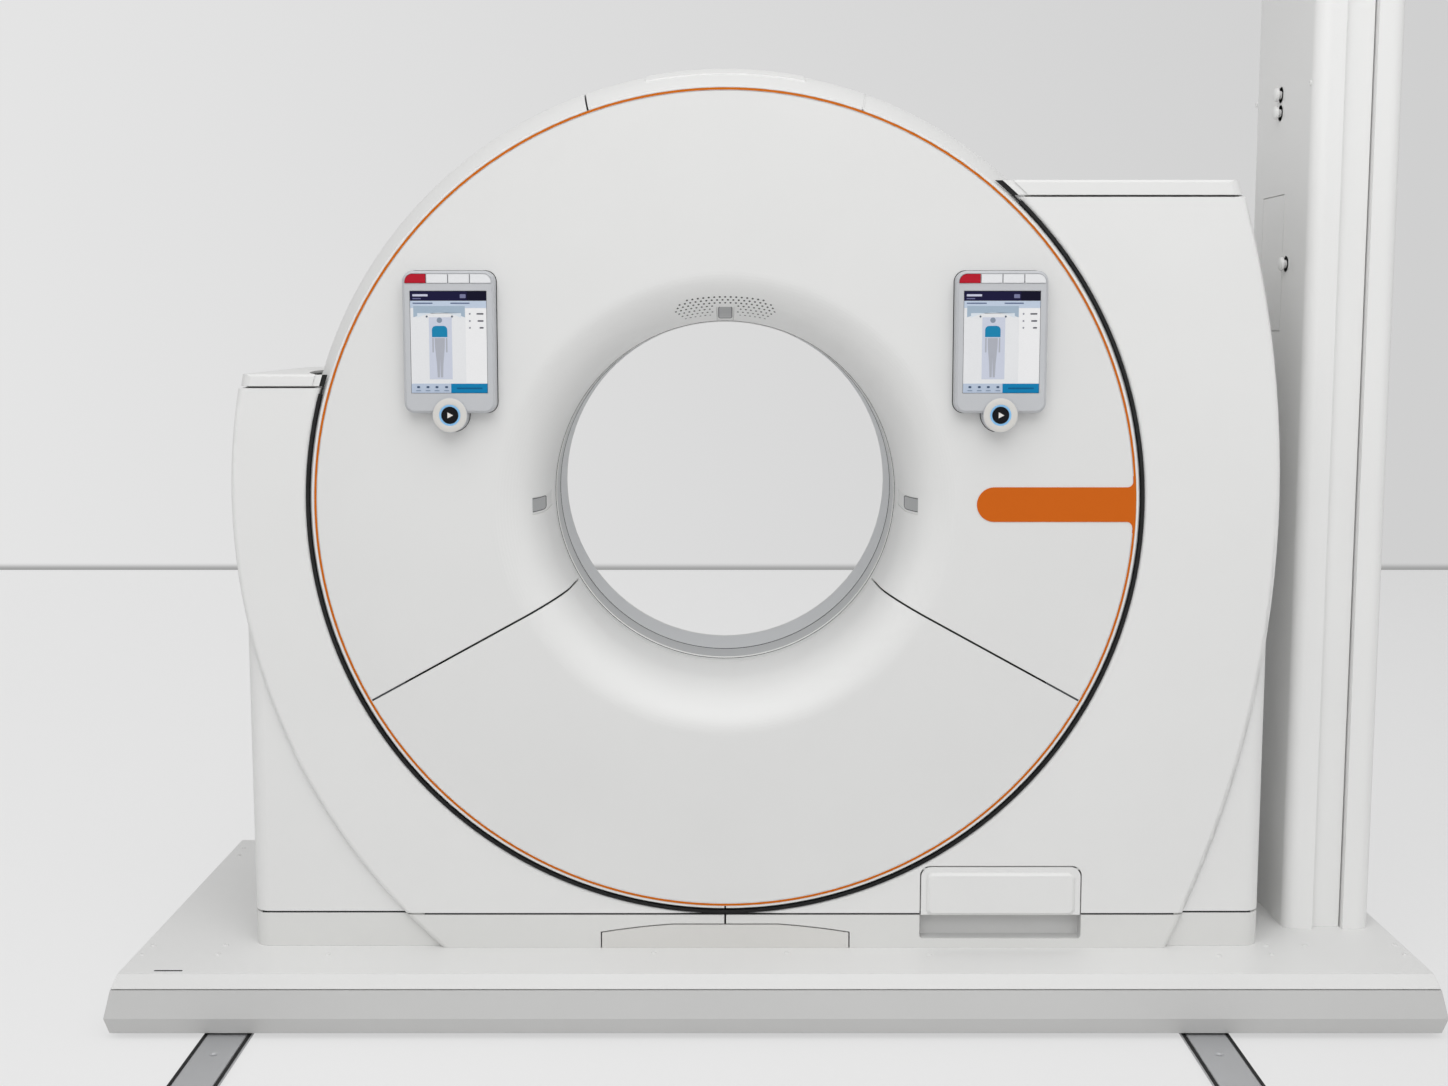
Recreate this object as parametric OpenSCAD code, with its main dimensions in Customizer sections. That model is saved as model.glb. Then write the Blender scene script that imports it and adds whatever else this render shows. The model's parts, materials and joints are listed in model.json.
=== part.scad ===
// Tomography scanner on floor rails: a tilting ring with a rotor inside, carried by two towers
// on a wheeled platform, with a cable column at the rear corner.
// Millimetres. +X to the viewer's right, +Y to the rear, +Z up. The origin is on the floor,
// under the middle of the platform.

/* [Platform] */
// Width of the deck
deck_w = 2740; // [2600:10:2900]
// Depth of the deck
deck_d = 1000; // [960:10:1100]
// Height of the deck above the floor
deck_h = 135; // [130:1:160]
// Thickness of the deck plate
deck_t = 12; // [8:1:16]
// Height of the bevelled deck rim
rim_h = 29; // [22:1:34]
// Run-out of the bevelled deck rim
rim_bevel = 12; // [6:1:20]
// How far the skirt's fold stands out beyond its top edge
skirt_bulge = 12; // [6:1:20]
// Height of the skirt's fold above the floor
fold_h = 47; // [36:1:60]
// Gap between the skirt and the floor
skirt_lift = 13; // [10:1:20]
// Thickness of the skirt sheet
sheet = 3; // [2:0.5:5]
// Width of the frame's cross beams
beam_w = 50; // [40:2:60]
// Depth of the frame's cross beams
beam_h = 60; // [50:2:66]

/* [Rails] */
// Length of the floor rails
rail_l = 4000; // [3600:50:4400]
// Width of a floor rail
rail_w = 98; // [90:1:110]
// Height of a floor rail
rail_h = 8; // [6:1:12]
// Sideways place of the left rail
rail_left_x = -1142; // [-1160:2:-1120]
// Sideways place of the right rail
rail_right_x = 896; // [860:2:920]
// Radius of the anchor holes
anchor_r = 6.5; // [5:0.5:8]
// Distance of the last anchor hole from the rail end
anchor_end = 150; // [110:10:250]
// Length of an end stop
stop_l = 60; // [50:5:80]

/* [Wheels] */
// Diameter of a wheel
wheel_d = 80; // [70:2:84]
// Width of a wheel
wheel_w = 40; // [30:2:46]
// Radius of a wheel's journals
journal_r = 12; // [8:1:16]
// Distance between the front and rear wheels
wheel_base = 780; // [700:10:800]
// Thickness of the channel that holds the wheels
channel_t = 10; // [8:1:12]

/* [Tilting ring] */
// Sideways place of the bore axis
bore_x = -105; // [-130:5:-60]
// Clear diameter of the patient bore
bore_d = 780; // [720:10:800]
// Depth of the ring from its front face to its rear face
ring_depth = 700; // [680:5:720]
// Diameter of the flat front face
face_d = 1736; // [1720:2:1750]
// Wall of the moulded covers
wall = 6; // [4:0.5:7]
// How far the funnel opens beyond the bore
funnel_w = 100; // [80:5:120]
// Depth of the funnel
funnel_depth = 160; // [140:5:175]
// Length of the straight throat behind the funnel
throat_l = 175; // [165:1:180]
// Width of the trim ring in front of the scan window
trim_l = 47; // [40:1:50]
// Width of the scan window along the bore
window_w = 115; // [105:1:120]
// Wall of the scan window and the bore liner
liner_t = 4; // [3:0.5:6]
// Angle of the face seams below the horizontal
seam_angle = 28.8; // [22:0.2:36]
// How far the face seams lean down towards the rear, in degrees
seam_lean = 2.2; // [1:0.2:3]
// Gap at the cover seams
seam = 4; // [2:0.5:5]
// Radius of the rear edge of the bore
rear_edge = 9; // [5:1:20]
// Half width of a laser window, in degrees about the bore axis
window_half = 2.5; // [2:0.1:4]
// How far the side laser windows sit below the bore axis, in degrees
window_dip = 0.6; // [0:0.1:1]
// How far the side laser windows run into the throat
window_run = 118; // [90:2:150]
// Clearance between the rim and the deck
ring_lift = 25; // [18:1:40]

/* [Accent ring and tag] */
// Width of the coloured ring
accent_w = 5.5; // [4:0.5:9]
// How far the ring and the tag stand proud
accent_t = 1.2; // [0.6:0.2:3]
// Length of the tag
tag_l = 335; // [250:5:380]
// Height of the tag
tag_h = 73; // [50:1:90]
// Height of the tag's middle above the bore axis
tag_z = 5.5; // [-20:0.5:20]

/* [Top vent] */
// Half angle of the top cover
vent_angle = 19; // [16:0.5:24]
// Width of the raised vent
vent_w = 336; // [280:4:400]
// Depth of the raised vent
vent_d = 500; // [400:10:560]
// How far the vent stands above the rim
vent_rise = 3; // [2:0.5:8]
// Number of vent slots
vent_slots = 14; // [8:1:18]

/* [Control panels] */
// Width of a panel
panel_w = 189; // [170:1:200]
// Height of a panel
panel_h = 292; // [270:1:310]
// Thickness of a panel
panel_t = 38; // [30:1:46]
// Sideways place of the panels from the bore axis
panel_x = 569; // [520:1:600]
// Height of the panels' middle above the bore axis
panel_z = 345; // [320:5:365]
// Width of the screen
screen_w = 157; // [140:1:164]
// Height of the screen
screen_h = 209; // [180:1:214]
// Height of the key row
key_h = 18; // [14:1:20]
// Travel of a key
key_travel = 1.5; // [1:0.1:2]
// Radius of the start button
start_r = 17; // [14:0.5:20]
// Radius of the lobe that holds the start button
lobe_r = 36; // [30:1:40]

/* [Stand] */
// Gap between the ring's rim and the stand covers
rim_gap = 8; // [6:0.5:10]
// How far the ring's face stands proud of the stand
face_proud = 10; // [6:1:16]
// Height of the plinth
plinth_h = 76; // [70:1:78]
// How far the side shells stand back from the front shells
set_back = 15; // [10:1:20]
// Edge radius of the side shells
side_edge = 35; // [20:1:45]
// Edge radius of the front shells
face_edge = 12; // [7:1:16]
// Clearance of the tower caps round the rim
cap_clear = 18; // [12:1:30]

/* [Left tower] */
// Reach of the left tower from the bore axis
left_reach = 1042; // [1030:1:1060]
// How far the left tower's foot stands inside its widest reach
left_foot_in = 18; // [8:1:24]
// Radius of the left crease
left_crease = 1317; // [1280:5:1400]
// Height of the left crease's middle above the bore axis
left_crease_z = 10; // [-20:1:40]
// Height of the left tower's cap seam above the bore axis
left_top = 251; // [200:1:300]
// Height of the left cap
left_cap = 27; // [24:1:40]

/* [Right tower] */
// Reach of the right tower from the bore axis
right_reach = 1170; // [1150:1:1190]
// How far the right tower's foot stands inside its widest reach
right_foot_in = 8; // [4:1:24]
// Radius of the right crease
right_crease = 2275; // [2200:5:2400]
// Height of the right crease's middle above the bore axis
right_crease_z = 0; // [-20:1:20]
// Height of the right tower's cap seam above the bore axis
right_top = 645; // [600:1:680]
// Height of the right cap
right_cap = 33; // [28:1:40]

/* [Tilt bearings] */
// Radius of the trunnions
trunnion_r = 40; // [34:1:44]
// Radius of the bearings' outer rings
bearing_r = 62; // [58:1:66]
// Length of a bearing
bearing_l = 40; // [30:1:44]
// Radius of the tilt gear motor
motor_r = 88; // [70:1:95]
// Thickness of the uprights
upright_t = 55; // [50:1:58]

/* [Dock cover and service flap] */
// Width of the dock cover
dock_w = 534; // [480:2:560]
// Height of the dock cover
dock_h = 56; // [50:1:60]
// Rise of the dock cover's arched top
dock_rise = 22; // [12:1:26]
// Width of the service flap
flap_w = 344; // [300:2:360]
// Height of the service flap
flap_h = 106; // [98:1:110]
// Sideways place of the flap from the bore axis
flap_x = 595; // [590:1:620]
// Corner radius of the flap
flap_r = 22; // [16:1:30]
// Depth of the finger recess under the flap
recess_d = 34; // [24:1:40]
// Height of the finger recess below the plinth seam
recess_h = 52; // [40:1:58]

/* [Cable column] */
// Width of the column
column_w = 192; // [180:2:210]
// Depth of the column
column_d = 445; // [420:5:460]
// Height of the column above the deck
column_h = 2265; // [2100:5:2400]
// Gap between the right tower and the column
column_gap = 79; // [70:1:90]
// Depth of the recessed band on its front
band_depth = 18; // [10:1:24]
// Width of the recessed band
band_w = 64; // [50:1:74]
// Height of the hatch
hatch_h = 301; // [260:5:340]
// Width of the hatch
hatch_w = 158; // [130:2:180]
// Height of the hatch's middle above the bore axis
hatch_z = 518; // [480:2:560]
// Distance of the hatch's middle behind the column's middle
hatch_y = 48; // [20:2:70]
// Distance of the column's middle behind the deck's middle
column_y = 7; // [0:1:20]

/* [Rotor] */
// Outer radius of the rotor
rotor_r = 838; // [820:1:841]
// Thickness of the rotor plate
rotor_t = 24; // [18:1:30]
// Radius of the tube housing
tube_r = 105; // [90:1:115]
// Distance from the focus to the detector
focus_l = 1085; // [1050:5:1100]
// Height of the focus above the bore axis
focus_z = 570; // [560:5:590]

/* [Hidden] */
$fn = 180;
side_names = ["left", "right"];

// Running and seating clearances
fit = 0.3;
running = 0.06;
big = 4000;

// Colours
white = [0.88, 0.88, 0.87];
deck_white = [0.84, 0.84, 0.84];
steel = [0.45, 0.47, 0.5];
rail_grey = [0.6, 0.6, 0.6];
rubber = [0.05, 0.05, 0.05];
orange = [0.8, 0.38, 0.08];
window_grey = [0.55, 0.56, 0.58];
pale_grey = [0.78, 0.79, 0.8];
screen_blue = [0.05, 0.1, 0.3];
key_red = [0.7, 0.06, 0.14];
copper = [0.72, 0.45, 0.25];

// The ring is a zone of a ball, so that it clears the stand at every tilt
bore_r = bore_d / 2;
face_r = face_d / 2;
half_ring = ring_depth / 2;
ball_r = sqrt(face_r * face_r + half_ring * half_ring);
bore_z = deck_h + ring_lift + ball_r;
deck_z = -ring_lift - ball_r;
inner_ball_r = ball_r - wall;
accent_out = face_r - 4.5;
accent_in = accent_out - accent_w;
accent_seat = 7;
trim_gap = 0.3;
window_from = 52;
window_top_from = 46;
window_top_to = 88;
window_angles = [-window_dip, 90, 180 + window_dip];
throat_front = funnel_depth - half_ring;
throat_end = throat_front + throat_l;
window_front = throat_end + seam + trim_l;
window_rear = window_front + window_w;

// Stand
stand_y = half_ring - face_proud;
side_y = stand_y - set_back;
cavity_r = ball_r + rim_gap;
cavity_face_r = sqrt(cavity_r * cavity_r - stand_y * stand_y);
plinth_z = deck_z + plinth_h;
lip_w = 25;
lip_depth = 50;
tongue_t = 3;
tongue_h = 10;

column_x = right_reach + column_gap;

// Frame of the ring
barrel_out = accent_in;
barrel_in = barrel_out - 8;
barrel_end = half_ring - accent_seat;
bulkhead_y = 294;
bulkhead_t = 24;
bearing_ring_out = bore_r + 110;
bearing_ring_in = bearing_ring_out - 30;
bearing_ring_y = bulkhead_y - 32;
hub_in = bore_r + 35;
plate_y = bearing_ring_y - 48;
trunnion_pad_r = 90;
trunnion_pad_x = barrel_out + 26;
upright_in = cavity_r + 6;
bearing_in = upright_in + 8;
trunnion_end = bearing_in + bearing_l + 5;
pin_gap = 6;

// Wheels and channels
wheel_r = wheel_d / 2;
wheel_z = rail_h + fit + wheel_r;
channel_in = wheel_w / 2 + 6;
channel_out = channel_in + channel_t;
channel_bottom = rail_h + 14;
frame_top = deck_h - deck_t;
frame_y = deck_d / 2 - 5;
frame_x = deck_w / 2 - 15;

// Flap and pocket
flap_gap = 2.5;
flap_bottom = plinth_z - 2;
flap_top = flap_bottom + flap_h;
flap_t = wall;
flap_pad = 6;
hinge_r = 2;
hinge_drop = 4.5;
pocket_d = 62;
pocket_t = 3;

function reach(s) = s < 0 ? left_reach : right_reach;
function foot(s) = s < 0 ? left_reach - left_foot_in : right_reach - right_foot_in;
function crease(s) = s < 0 ? left_crease : right_crease;
function crease_z(s) = s < 0 ? left_crease_z : right_crease_z;
function top(s) = s < 0 ? left_top : right_top;
function cap(s) = s < 0 ? left_cap : right_cap;
function rail_x(s) = s < 0 ? rail_left_x : rail_right_x;

// Height up to which a tower's side still stands clear of x
function clear_height(s, x) =
    crease_z(s) + sqrt(max(0, pow(crease(s) - wall, 2) - pow(crease(s) - reach(s) + x, 2)));

// Places and turns
module at_bore() {
    translate([bore_x, 0, bore_z]) children();
}

module on_side(s) {
    if (s < 0) mirror([1, 0, 0]) children();
    else children();
}

// Extrudes an outline drawn in X and Z along Y, from y0 to y1
module along_y(y0, y1) {
    translate([0, y1, 0]) rotate([90, 0, 0]) linear_extrude(y1 - y0) children();
}

// Extrudes an outline drawn in Y and Z along X, from x0 to x1
module along_x(x0, x1) {
    translate([x0, 0, 0]) rotate([90, 0, 90]) linear_extrude(x1 - x0) children();
}

// Revolves an outline of radius and depth about the bore direction
module revolve() {
    rotate([-90, 0, 0]) rotate_extrude() children();
}

// Revolves an outline between two angles, measured from +X towards +Z
module revolve_part(a0, a1) {
    rotate([-90, 0, 0]) rotate([0, 0, -a1]) rotate_extrude(angle = a1 - a0) children();
}

module rod_y(r, y0, y1) {
    translate([0, y0, 0]) rotate([-90, 0, 0]) cylinder(r = r, h = y1 - y0);
}

module rod_x(r, x0, x1) {
    translate([x0, 0, 0]) rotate([0, 90, 0]) cylinder(r = r, h = x1 - x0);
}

module block(x0, x1, y0, y1, z0, z1) {
    translate([x0, y0, z0]) cube([x1 - x0, y1 - y0, z1 - z0]);
}

// Rectangle with round corners, centred
module round_rect(w, h, r) {
    square([w - 2 * r, h], center = true);
    square([w, h - 2 * r], center = true);
    for (x = [-1, 1], y = [-1, 1])
        translate([x * (w / 2 - r), y * (h / 2 - r)]) circle(r);
}

// Half strip from the axis out to r, with round outer corners
module round_strip(r, half, edge) {
    translate([0, -half]) square([r - edge, 2 * half]);
    translate([0, edge - half]) square([r, 2 * (half - edge)]);
    for (y = [-1, 1])
        translate([r - edge, y * (half - edge)]) circle(edge, $fn = 48);
}

// RAILS

module rail(s) {
    half = rail_w / 2;
    color(rail_grey)
    translate([rail_x(s), 0, 0])
    difference() {
        along_y(-rail_l / 2, rail_l / 2)
            polygon([[-half, 0], [half, 0], [half, rail_h - 3], [half - 3, rail_h],
                [3 - half, rail_h], [-half, rail_h - 3]]);
        for (y = [-1, 1], part = [1, 1 / 3])
            translate([0, y * part * (rail_l / 2 - anchor_end), -1]) {
                cylinder(r = anchor_r, h = rail_h + 2);
                translate([0, 0, rail_h - 2])
                    cylinder(r1 = anchor_r, r2 = anchor_r + 4, h = 4);
            }
        for (x = [-1, 1])
            block(x * (half - 8) - 1, x * (half - 8) + 1, -big, big, rail_h - 1.5, rail_h + 1);
    }
}

module end_stops() {
    color(rubber)
    for (s = [-1, 1], e = [-1, 1])
        translate([rail_x(s), e * (rail_l / 2 - stop_l / 2), rail_h])
        intersection() {
            along_x(-rail_w / 2, rail_w / 2)
                polygon([[-e * stop_l / 2, 0], [e * stop_l / 2, 0], [e * stop_l / 2, 16],
                    [e * stop_l / 6, 52], [-e * stop_l / 2, 52]]);
            linear_extrude(80) round_rect(rail_w - 8, stop_l, 8);
        }
}

// PLATFORM

// Outline that widens from half + top_out at z1 to half + bottom_out at z0
module flare(half, top_out, bottom_out, z0, z1) {
    polygon([[-half - bottom_out, z0], [half + bottom_out, z0], [half + top_out, z1],
        [-half - top_out, z1]]);
}

// Four-sided body with sloping sides
module flared_box(inset, top_out, bottom_out, z0, z1) {
    intersection() {
        along_x(-big, big) flare(deck_d / 2 - inset, top_out, bottom_out, z0, z1);
        along_y(-big, big) flare(deck_w / 2 - inset, top_out, bottom_out, z0, z1);
    }
}

module deck_plate() {
    color(deck_white)
    difference() {
        flared_box(0, 0, rim_bevel, deck_h - rim_h, deck_h);
        flared_box(4, 0, rim_bevel, deck_h - rim_h - 1, deck_h - deck_t);
    }
}

skirt_top = deck_h - rim_h - 2;
skirt_out = rim_bevel + 1;
fold_out = skirt_out + skirt_bulge;
skirt_toe = skirt_out + 3;

module skirt_body(inset) {
    flared_box(inset, skirt_out, fold_out, fold_h, skirt_top + inset);
    flared_box(inset, fold_out, skirt_toe, skirt_lift - inset, fold_h);
}

module skirt_shell() {
    difference() {
        skirt_body(0);
        skirt_body(sheet);
    }
    difference() {
        flared_box(sheet / 2, skirt_out, skirt_out, skirt_top - sheet, skirt_top);
        block(-frame_x, frame_x, -frame_y, frame_y, 0, big);
    }
}

// Wedge of plan that one side's skirt fills, mitred at the corners
module mitre(turn) {
    long = turn % 180 == 0 ? deck_w / 2 : deck_d / 2;
    short = turn % 180 == 0 ? deck_d / 2 : deck_w / 2;
    out = 2 * fold_out;
    in = deck_d / 4;
    rotate([0, 0, turn])
    linear_extrude(deck_h)
        polygon([[-long - out, -short - out], [long + out, -short - out],
            [long - in, in - short], [in - long, in - short]]);
}

module skirts() {
    color(deck_white)
    for (turn = [0:90:270])
        intersection() {
            skirt_shell();
            mitre(turn);
        }
}

module wheel(s, e) {
    color(steel)
    translate([rail_x(s), e * wheel_base / 2, wheel_z]) {
        rotate([0, 90, 0]) rotate_extrude()
            polygon([[0, -wheel_w / 2], [wheel_r - 2, -wheel_w / 2], [wheel_r, 2 - wheel_w / 2],
                [wheel_r, wheel_w / 2 - 2], [wheel_r - 2, wheel_w / 2], [0, wheel_w / 2]]);
        rod_x(journal_r + 4, -channel_in + 1, channel_in - 1);
        rod_x(journal_r, -channel_out, channel_out);
    }
}

module carriage_frame() {
    beam_y = frame_y - beam_w / 2;
    color(steel)
    difference() {
        union() {
            for (s = [-1, 1])
                translate([rail_x(s), 0, 0])
                    block(-channel_out, channel_out, -frame_y, frame_y, channel_bottom, frame_top);
            for (y = [-beam_y, -beam_y / 2, 0, beam_y / 2, beam_y])
                block(-frame_x, frame_x, y - beam_w / 2, y + beam_w / 2, frame_top - beam_h,
                    frame_top);
            for (x = [-1, 1])
                block(x * (frame_x - beam_w / 2) - beam_w / 2, x * (frame_x - beam_w / 2) + beam_w / 2,
                    -frame_y, frame_y, frame_top - beam_h, frame_top);
        }
        for (s = [-1, 1])
            translate([rail_x(s), 0, 0]) {
                block(-channel_in, channel_in, -big, big, 0, frame_top - channel_t);
                for (e = [-1, 1])
                    translate([0, e * wheel_base / 2, wheel_z])
                        rod_x(journal_r + running, -channel_out - 1, channel_out + 1);
            }
    }
}

// STAND

// Disc whose rim is the crease of a tower, with a round edge
module crease_disc(s, inset, half, edge) {
    translate([reach(s) - crease(s), 0, crease_z(s)])
        revolve($fn = 360) round_strip(crease(s) - inset, half - inset, max(edge - inset, 0.5));
}

// Straight foot of a tower, below the widest point of the crease
module foot_block(s, inset) {
    translate([reach(s) / 2, 0, deck_z - 20])
        linear_extrude(crease_z(s) - deck_z + 20)
            round_strip(foot(s) - reach(s) / 2 - inset, side_y - inset, side_edge - inset);
}

module side_solid(s, inset) {
    crease_disc(s, inset, side_y, side_edge);
    foot_block(s, inset);
}

// Space of a tower, from its inner edge outwards and between two heights
module tower_zone(s, x0, z0, z1) {
    block(x0, reach(s) + 20, -big, big, z0, z1);
}

module side_shell(s) {
    color(white)
    at_bore() on_side(s)
    difference() {
        intersection() {
            side_solid(s, 0);
            tower_zone(s, reach(s) / 2, plinth_z + seam / 2, top(s) - seam / 2);
        }
        side_solid(s, wall);
        for (e = [-1, 1])
            translate([reach(s) - crease(s), e * side_y, crease_z(s)])
                rod_y(crease(s) - lip_w, -side_edge - 10, side_edge + 10);
    }
}

// Round inner edge of the stand's opening
module opening_edge() {
    revolve()
    difference() {
        translate([cavity_face_r - 10, -stand_y - 5]) square([face_edge + 10, face_edge + 5]);
        translate([cavity_face_r + face_edge, face_edge - stand_y]) circle(face_edge);
    }
}

// Front or rear shell between the ring and the crease; side_e -1 is the front
module face_shell(s) {
    color(white)
    on_side(s) {
        difference() {
            intersection() {
                crease_disc(s, 0, stand_y, face_edge);
                block(seam / 2, reach(s) + 20, -stand_y, -side_y - fit,
                    plinth_z + seam / 2, top(s) - seam / 2);
            }
            intersection() {
                crease_disc(s, wall, stand_y, face_edge);
                block(seam / 2 + wall, reach(s) + 20, -stand_y + wall, 0, -big, big);
            }
            sphere(cavity_r);
            opening_edge();
        }
        intersection() {
            difference() {
                sphere(cavity_r + wall);
                sphere(cavity_r);
            }
            block(seam / 2, reach(s), -stand_y + wall - 1, lip_depth - stand_y,
                plinth_z + seam / 2, top(s) - seam / 2);
        }
    }
}

// Outline of the flap and the recess below it; grow widens it
module flap_outline(grow) {
    low = plinth_z - recess_h;
    high = flap_top;
    half = flap_w / 2 + grow;
    translate([flap_x, 0]) {
        translate([-half + flap_r, low - grow]) square([2 * (half - flap_r), high - low + 2 * grow]);
        translate([-half, low + 8 - grow]) square([2 * half, high - low - flap_r - 8 + grow]);
        for (x = [-1, 1]) {
            translate([x * (half - flap_r), high + grow - flap_r]) circle(flap_r);
            translate([x * (half - 8), low + 8 - grow]) circle(8);
            translate([x * (half - flap_r / 2 - 4) - flap_r / 2, low - grow])
                square([flap_r, 8]);
        }
    }
}

module flap_pins(r, reach_out) {
    translate([flap_x, -stand_y + wall / 2, flap_top - hinge_drop])
        rod_x(r, -flap_w / 2 - reach_out, flap_w / 2 + reach_out);
}

module front_shell(s) {
    at_bore()
    difference() {
        face_shell(s);
        if (s > 0) {
            along_y(-stand_y - 1, -side_y) flap_outline(flap_gap);
            along_y(wall - stand_y, pocket_d - stand_y + 1)
                flap_outline(flap_gap + pocket_t + 3 + fit);
            flap_pins(hinge_r + running, flap_gap + 4);
        }
    }
}

module rear_shell(s) {
    at_bore() mirror([0, 1, 0]) face_shell(s);
}

module cap_solid(s, inset) {
    high = top(s) + cap(s) - inset;
    intersection() {
        crease_disc(s, inset, stand_y + 2 + inset, side_edge);
        along_x(0, reach(s))
            polygon([[inset - stand_y, 0], [stand_y - inset, 0], [stand_y - inset, high - 5],
                [stand_y - inset - 5, high], [inset - stand_y + 5, high], [inset - stand_y, high - 5]]);
        tower_zone(s, reach(s) / 2 - inset, inset > 0 ? 0 : top(s) + seam / 2, big);
    }
}

module tower_cap(s) {
    color(white)
    at_bore() on_side(s) {
        difference() {
            cap_solid(s, 0);
            cap_solid(s, wall);
            sphere(cavity_r + cap_clear);
        }
        difference() {
            intersection() {
                crease_disc(s, wall + fit, side_y, side_edge);
                tower_zone(s, reach(s) - 160, top(s) - tongue_h, top(s) + cap(s) - wall / 2);
            }
            crease_disc(s, wall + fit + tongue_t, side_y, side_edge);
            sphere(cavity_r + cap_clear);
            for (e = [-1, 1])
                block(0, big, e * side_y - side_edge, e * side_y + side_edge, 0, big);
        }
    }
}

// Plan of both the front face and the set-back side, as one solid
module plinth_solid(s, inset) {
    crease_disc(s, inset, stand_y, face_edge);
    side_solid(s, inset);
}

module dock_outline(grow) {
    arch_r = (pow(dock_w / 2, 2) + dock_rise * dock_rise) / (2 * dock_rise);
    intersection() {
        translate([0, deck_z + dock_h - arch_r]) circle(arch_r + grow, $fn = 360);
        translate([0, deck_z]) round_rect(dock_w + 2 * grow, 2 * (dock_h - 4) + 2 * grow, 22);
        translate([-dock_w, deck_z]) square([2 * dock_w, dock_h + 10]);
    }
}

module plinth(s) {
    color(white)
    at_bore() {
        difference() {
            on_side(s)
            difference() {
                intersection() {
                    plinth_solid(s, 0);
                    tower_zone(s, seam / 2, deck_z, plinth_z - seam / 2);
                }
                plinth_solid(s, wall);
                sphere(cavity_r);
            }
            along_y(-big, -side_y) dock_outline(flap_gap);
            if (s > 0)
                along_y(-big, -side_y) flap_outline(flap_gap);
        }
        difference() {
            on_side(s)
            difference() {
                intersection() {
                    plinth_solid(s, wall + fit - 0.5);
                    tower_zone(s, 2 * wall, plinth_z - tongue_h, plinth_z - seam / 2);
                }
                plinth_solid(s, wall + fit + tongue_t);
                sphere(cavity_r);
            }
            along_y(-big, -side_y) dock_outline(flap_gap);
            if (s > 0)
                along_y(-big, -side_y + 10) flap_outline(flap_gap + pocket_t + 1);
        }
        difference() {
            on_side(s)
            difference() {
                intersection() {
                    plinth_solid(s, wall + fit);
                    tower_zone(s, 2 * wall + 2, plinth_z - tongue_h, plinth_z + tongue_h);
                }
                plinth_solid(s, wall + fit + tongue_t);
                sphere(cavity_r + wall + fit);
                for (e = [-1, 1])
                    translate([0, e * (side_y - wall / 2), 0])
                        block(0, big, -wall / 2 - fit, wall / 2 + fit, plinth_z, big);
            }
            if (s > 0)
                along_y(-big, -side_y + 10) flap_outline(flap_gap + pocket_t + 1);
        }
    }
}

module dock_cover() {
    color(white)
    at_bore() {
        along_y(-stand_y, wall - stand_y) dock_outline(0);
        for (x = [-1, 1])
            translate([x * dock_w / 3, 0, deck_z])
                block(-15, 15, wall - stand_y, wall - stand_y + 20, 0, wall);
    }
}

module service_pocket() {
    back = pocket_d - stand_y;
    front = wall - stand_y;
    color(pale_grey)
    at_bore()
    difference() {
        union() {
            difference() {
                along_y(front, back) flap_outline(flap_gap + pocket_t);
                sphere(cavity_r + 2);
            }
            intersection() {
                along_y(front, front + pocket_t) flap_outline(flap_gap + pocket_t + 3);
                block(0, big, -big, 0, plinth_z + tongue_h, flap_top + 20);
                difference() {
                    block(0, big, -big, 0, -big, 0);
                    sphere(cavity_r + 2 * wall);
                }
            }
        }
        difference() {
            along_y(front - 1, back - pocket_t) flap_outline(flap_gap);
            sphere(cavity_r + 2 + pocket_t);
            block(0, big, recess_d - stand_y, 0, -big, plinth_z - 12);
        }
    }
}

module service_flap() {
    pad_h = flap_h - 12;
    color(white)
    at_bore() {
        intersection() {
            along_y(-stand_y, flap_t - stand_y) flap_outline(0);
            block(0, big, -big, 0, flap_bottom, flap_top + 1);
        }
        translate([flap_x, -stand_y, flap_bottom + pad_h / 2])
        hull() {
            along_y(-1, 0) round_rect(flap_w - 24, pad_h, 14, $fn = 32);
            along_y(-flap_pad, 0) round_rect(flap_w - 24 - 2 * flap_pad, pad_h - 2 * flap_pad,
                14 - flap_pad, $fn = 32);
        }
        flap_pins(hinge_r, flap_gap + 3);
    }
}

// Rubber lips that close the gap round the rim, front and rear
module rim_seals() {
    y0 = wall - stand_y;
    y1 = y0 + 6;
    start = 180 - asin(left_top / cavity_face_r) + 1;
    stop = 360 + asin(right_top / cavity_face_r) - 1;
    color(rubber)
    at_bore()
    for (e = [0, 1])
        mirror([0, e, 0])
        revolve_part(start, stop)
            polygon([
                [sqrt(ball_r * ball_r - y0 * y0) + 1, y0],
                [sqrt(cavity_r * cavity_r - y0 * y0) - fit, y0],
                [sqrt(cavity_r * cavity_r - y1 * y1) - fit, y1],
                [sqrt(ball_r * ball_r - y1 * y1) + 1, y1]]);
}

module upright(s) {
    half = 200;
    outer = upright_in + upright_t;
    height = min(top(s) - 50, clear_height(s, outer + 5));
    color(steel)
    at_bore() on_side(s)
    difference() {
        union() {
            block(upright_in, outer, -half, half, deck_z, height);
            rod_x(bearing_r + 30, upright_in - 3, outer);
            block(upright_in - 180, outer, -half - 60, half + 60, deck_z, deck_z + 15);
            for (y = [-half, half - 15])
                along_y(y, y + 15)
                    polygon([[upright_in, deck_z], [upright_in - 160, deck_z],
                        [upright_in, deck_z + 420]]);
        }
        rod_x(trunnion_r + pin_gap, 0, big);
        rod_x(bearing_r + running, bearing_in, big);
        if (s < 0)
            block(upright_in - 5, outer + 5, -half + 60, half - 60, 110, height - 40);
        for (z = [deck_z + 250, deck_z + 520])
            block(upright_in - 5, outer + 5, -half + 60, half - 60, z, z + 180);
    }
}

module tilt_bearings() {
    color(steel)
    at_bore()
    for (s = [-1, 1])
        on_side(s)
        difference() {
            rod_x(bearing_r, bearing_in, bearing_in + bearing_l);
            rod_x(trunnion_r + running, 0, big);
        }
}

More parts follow.
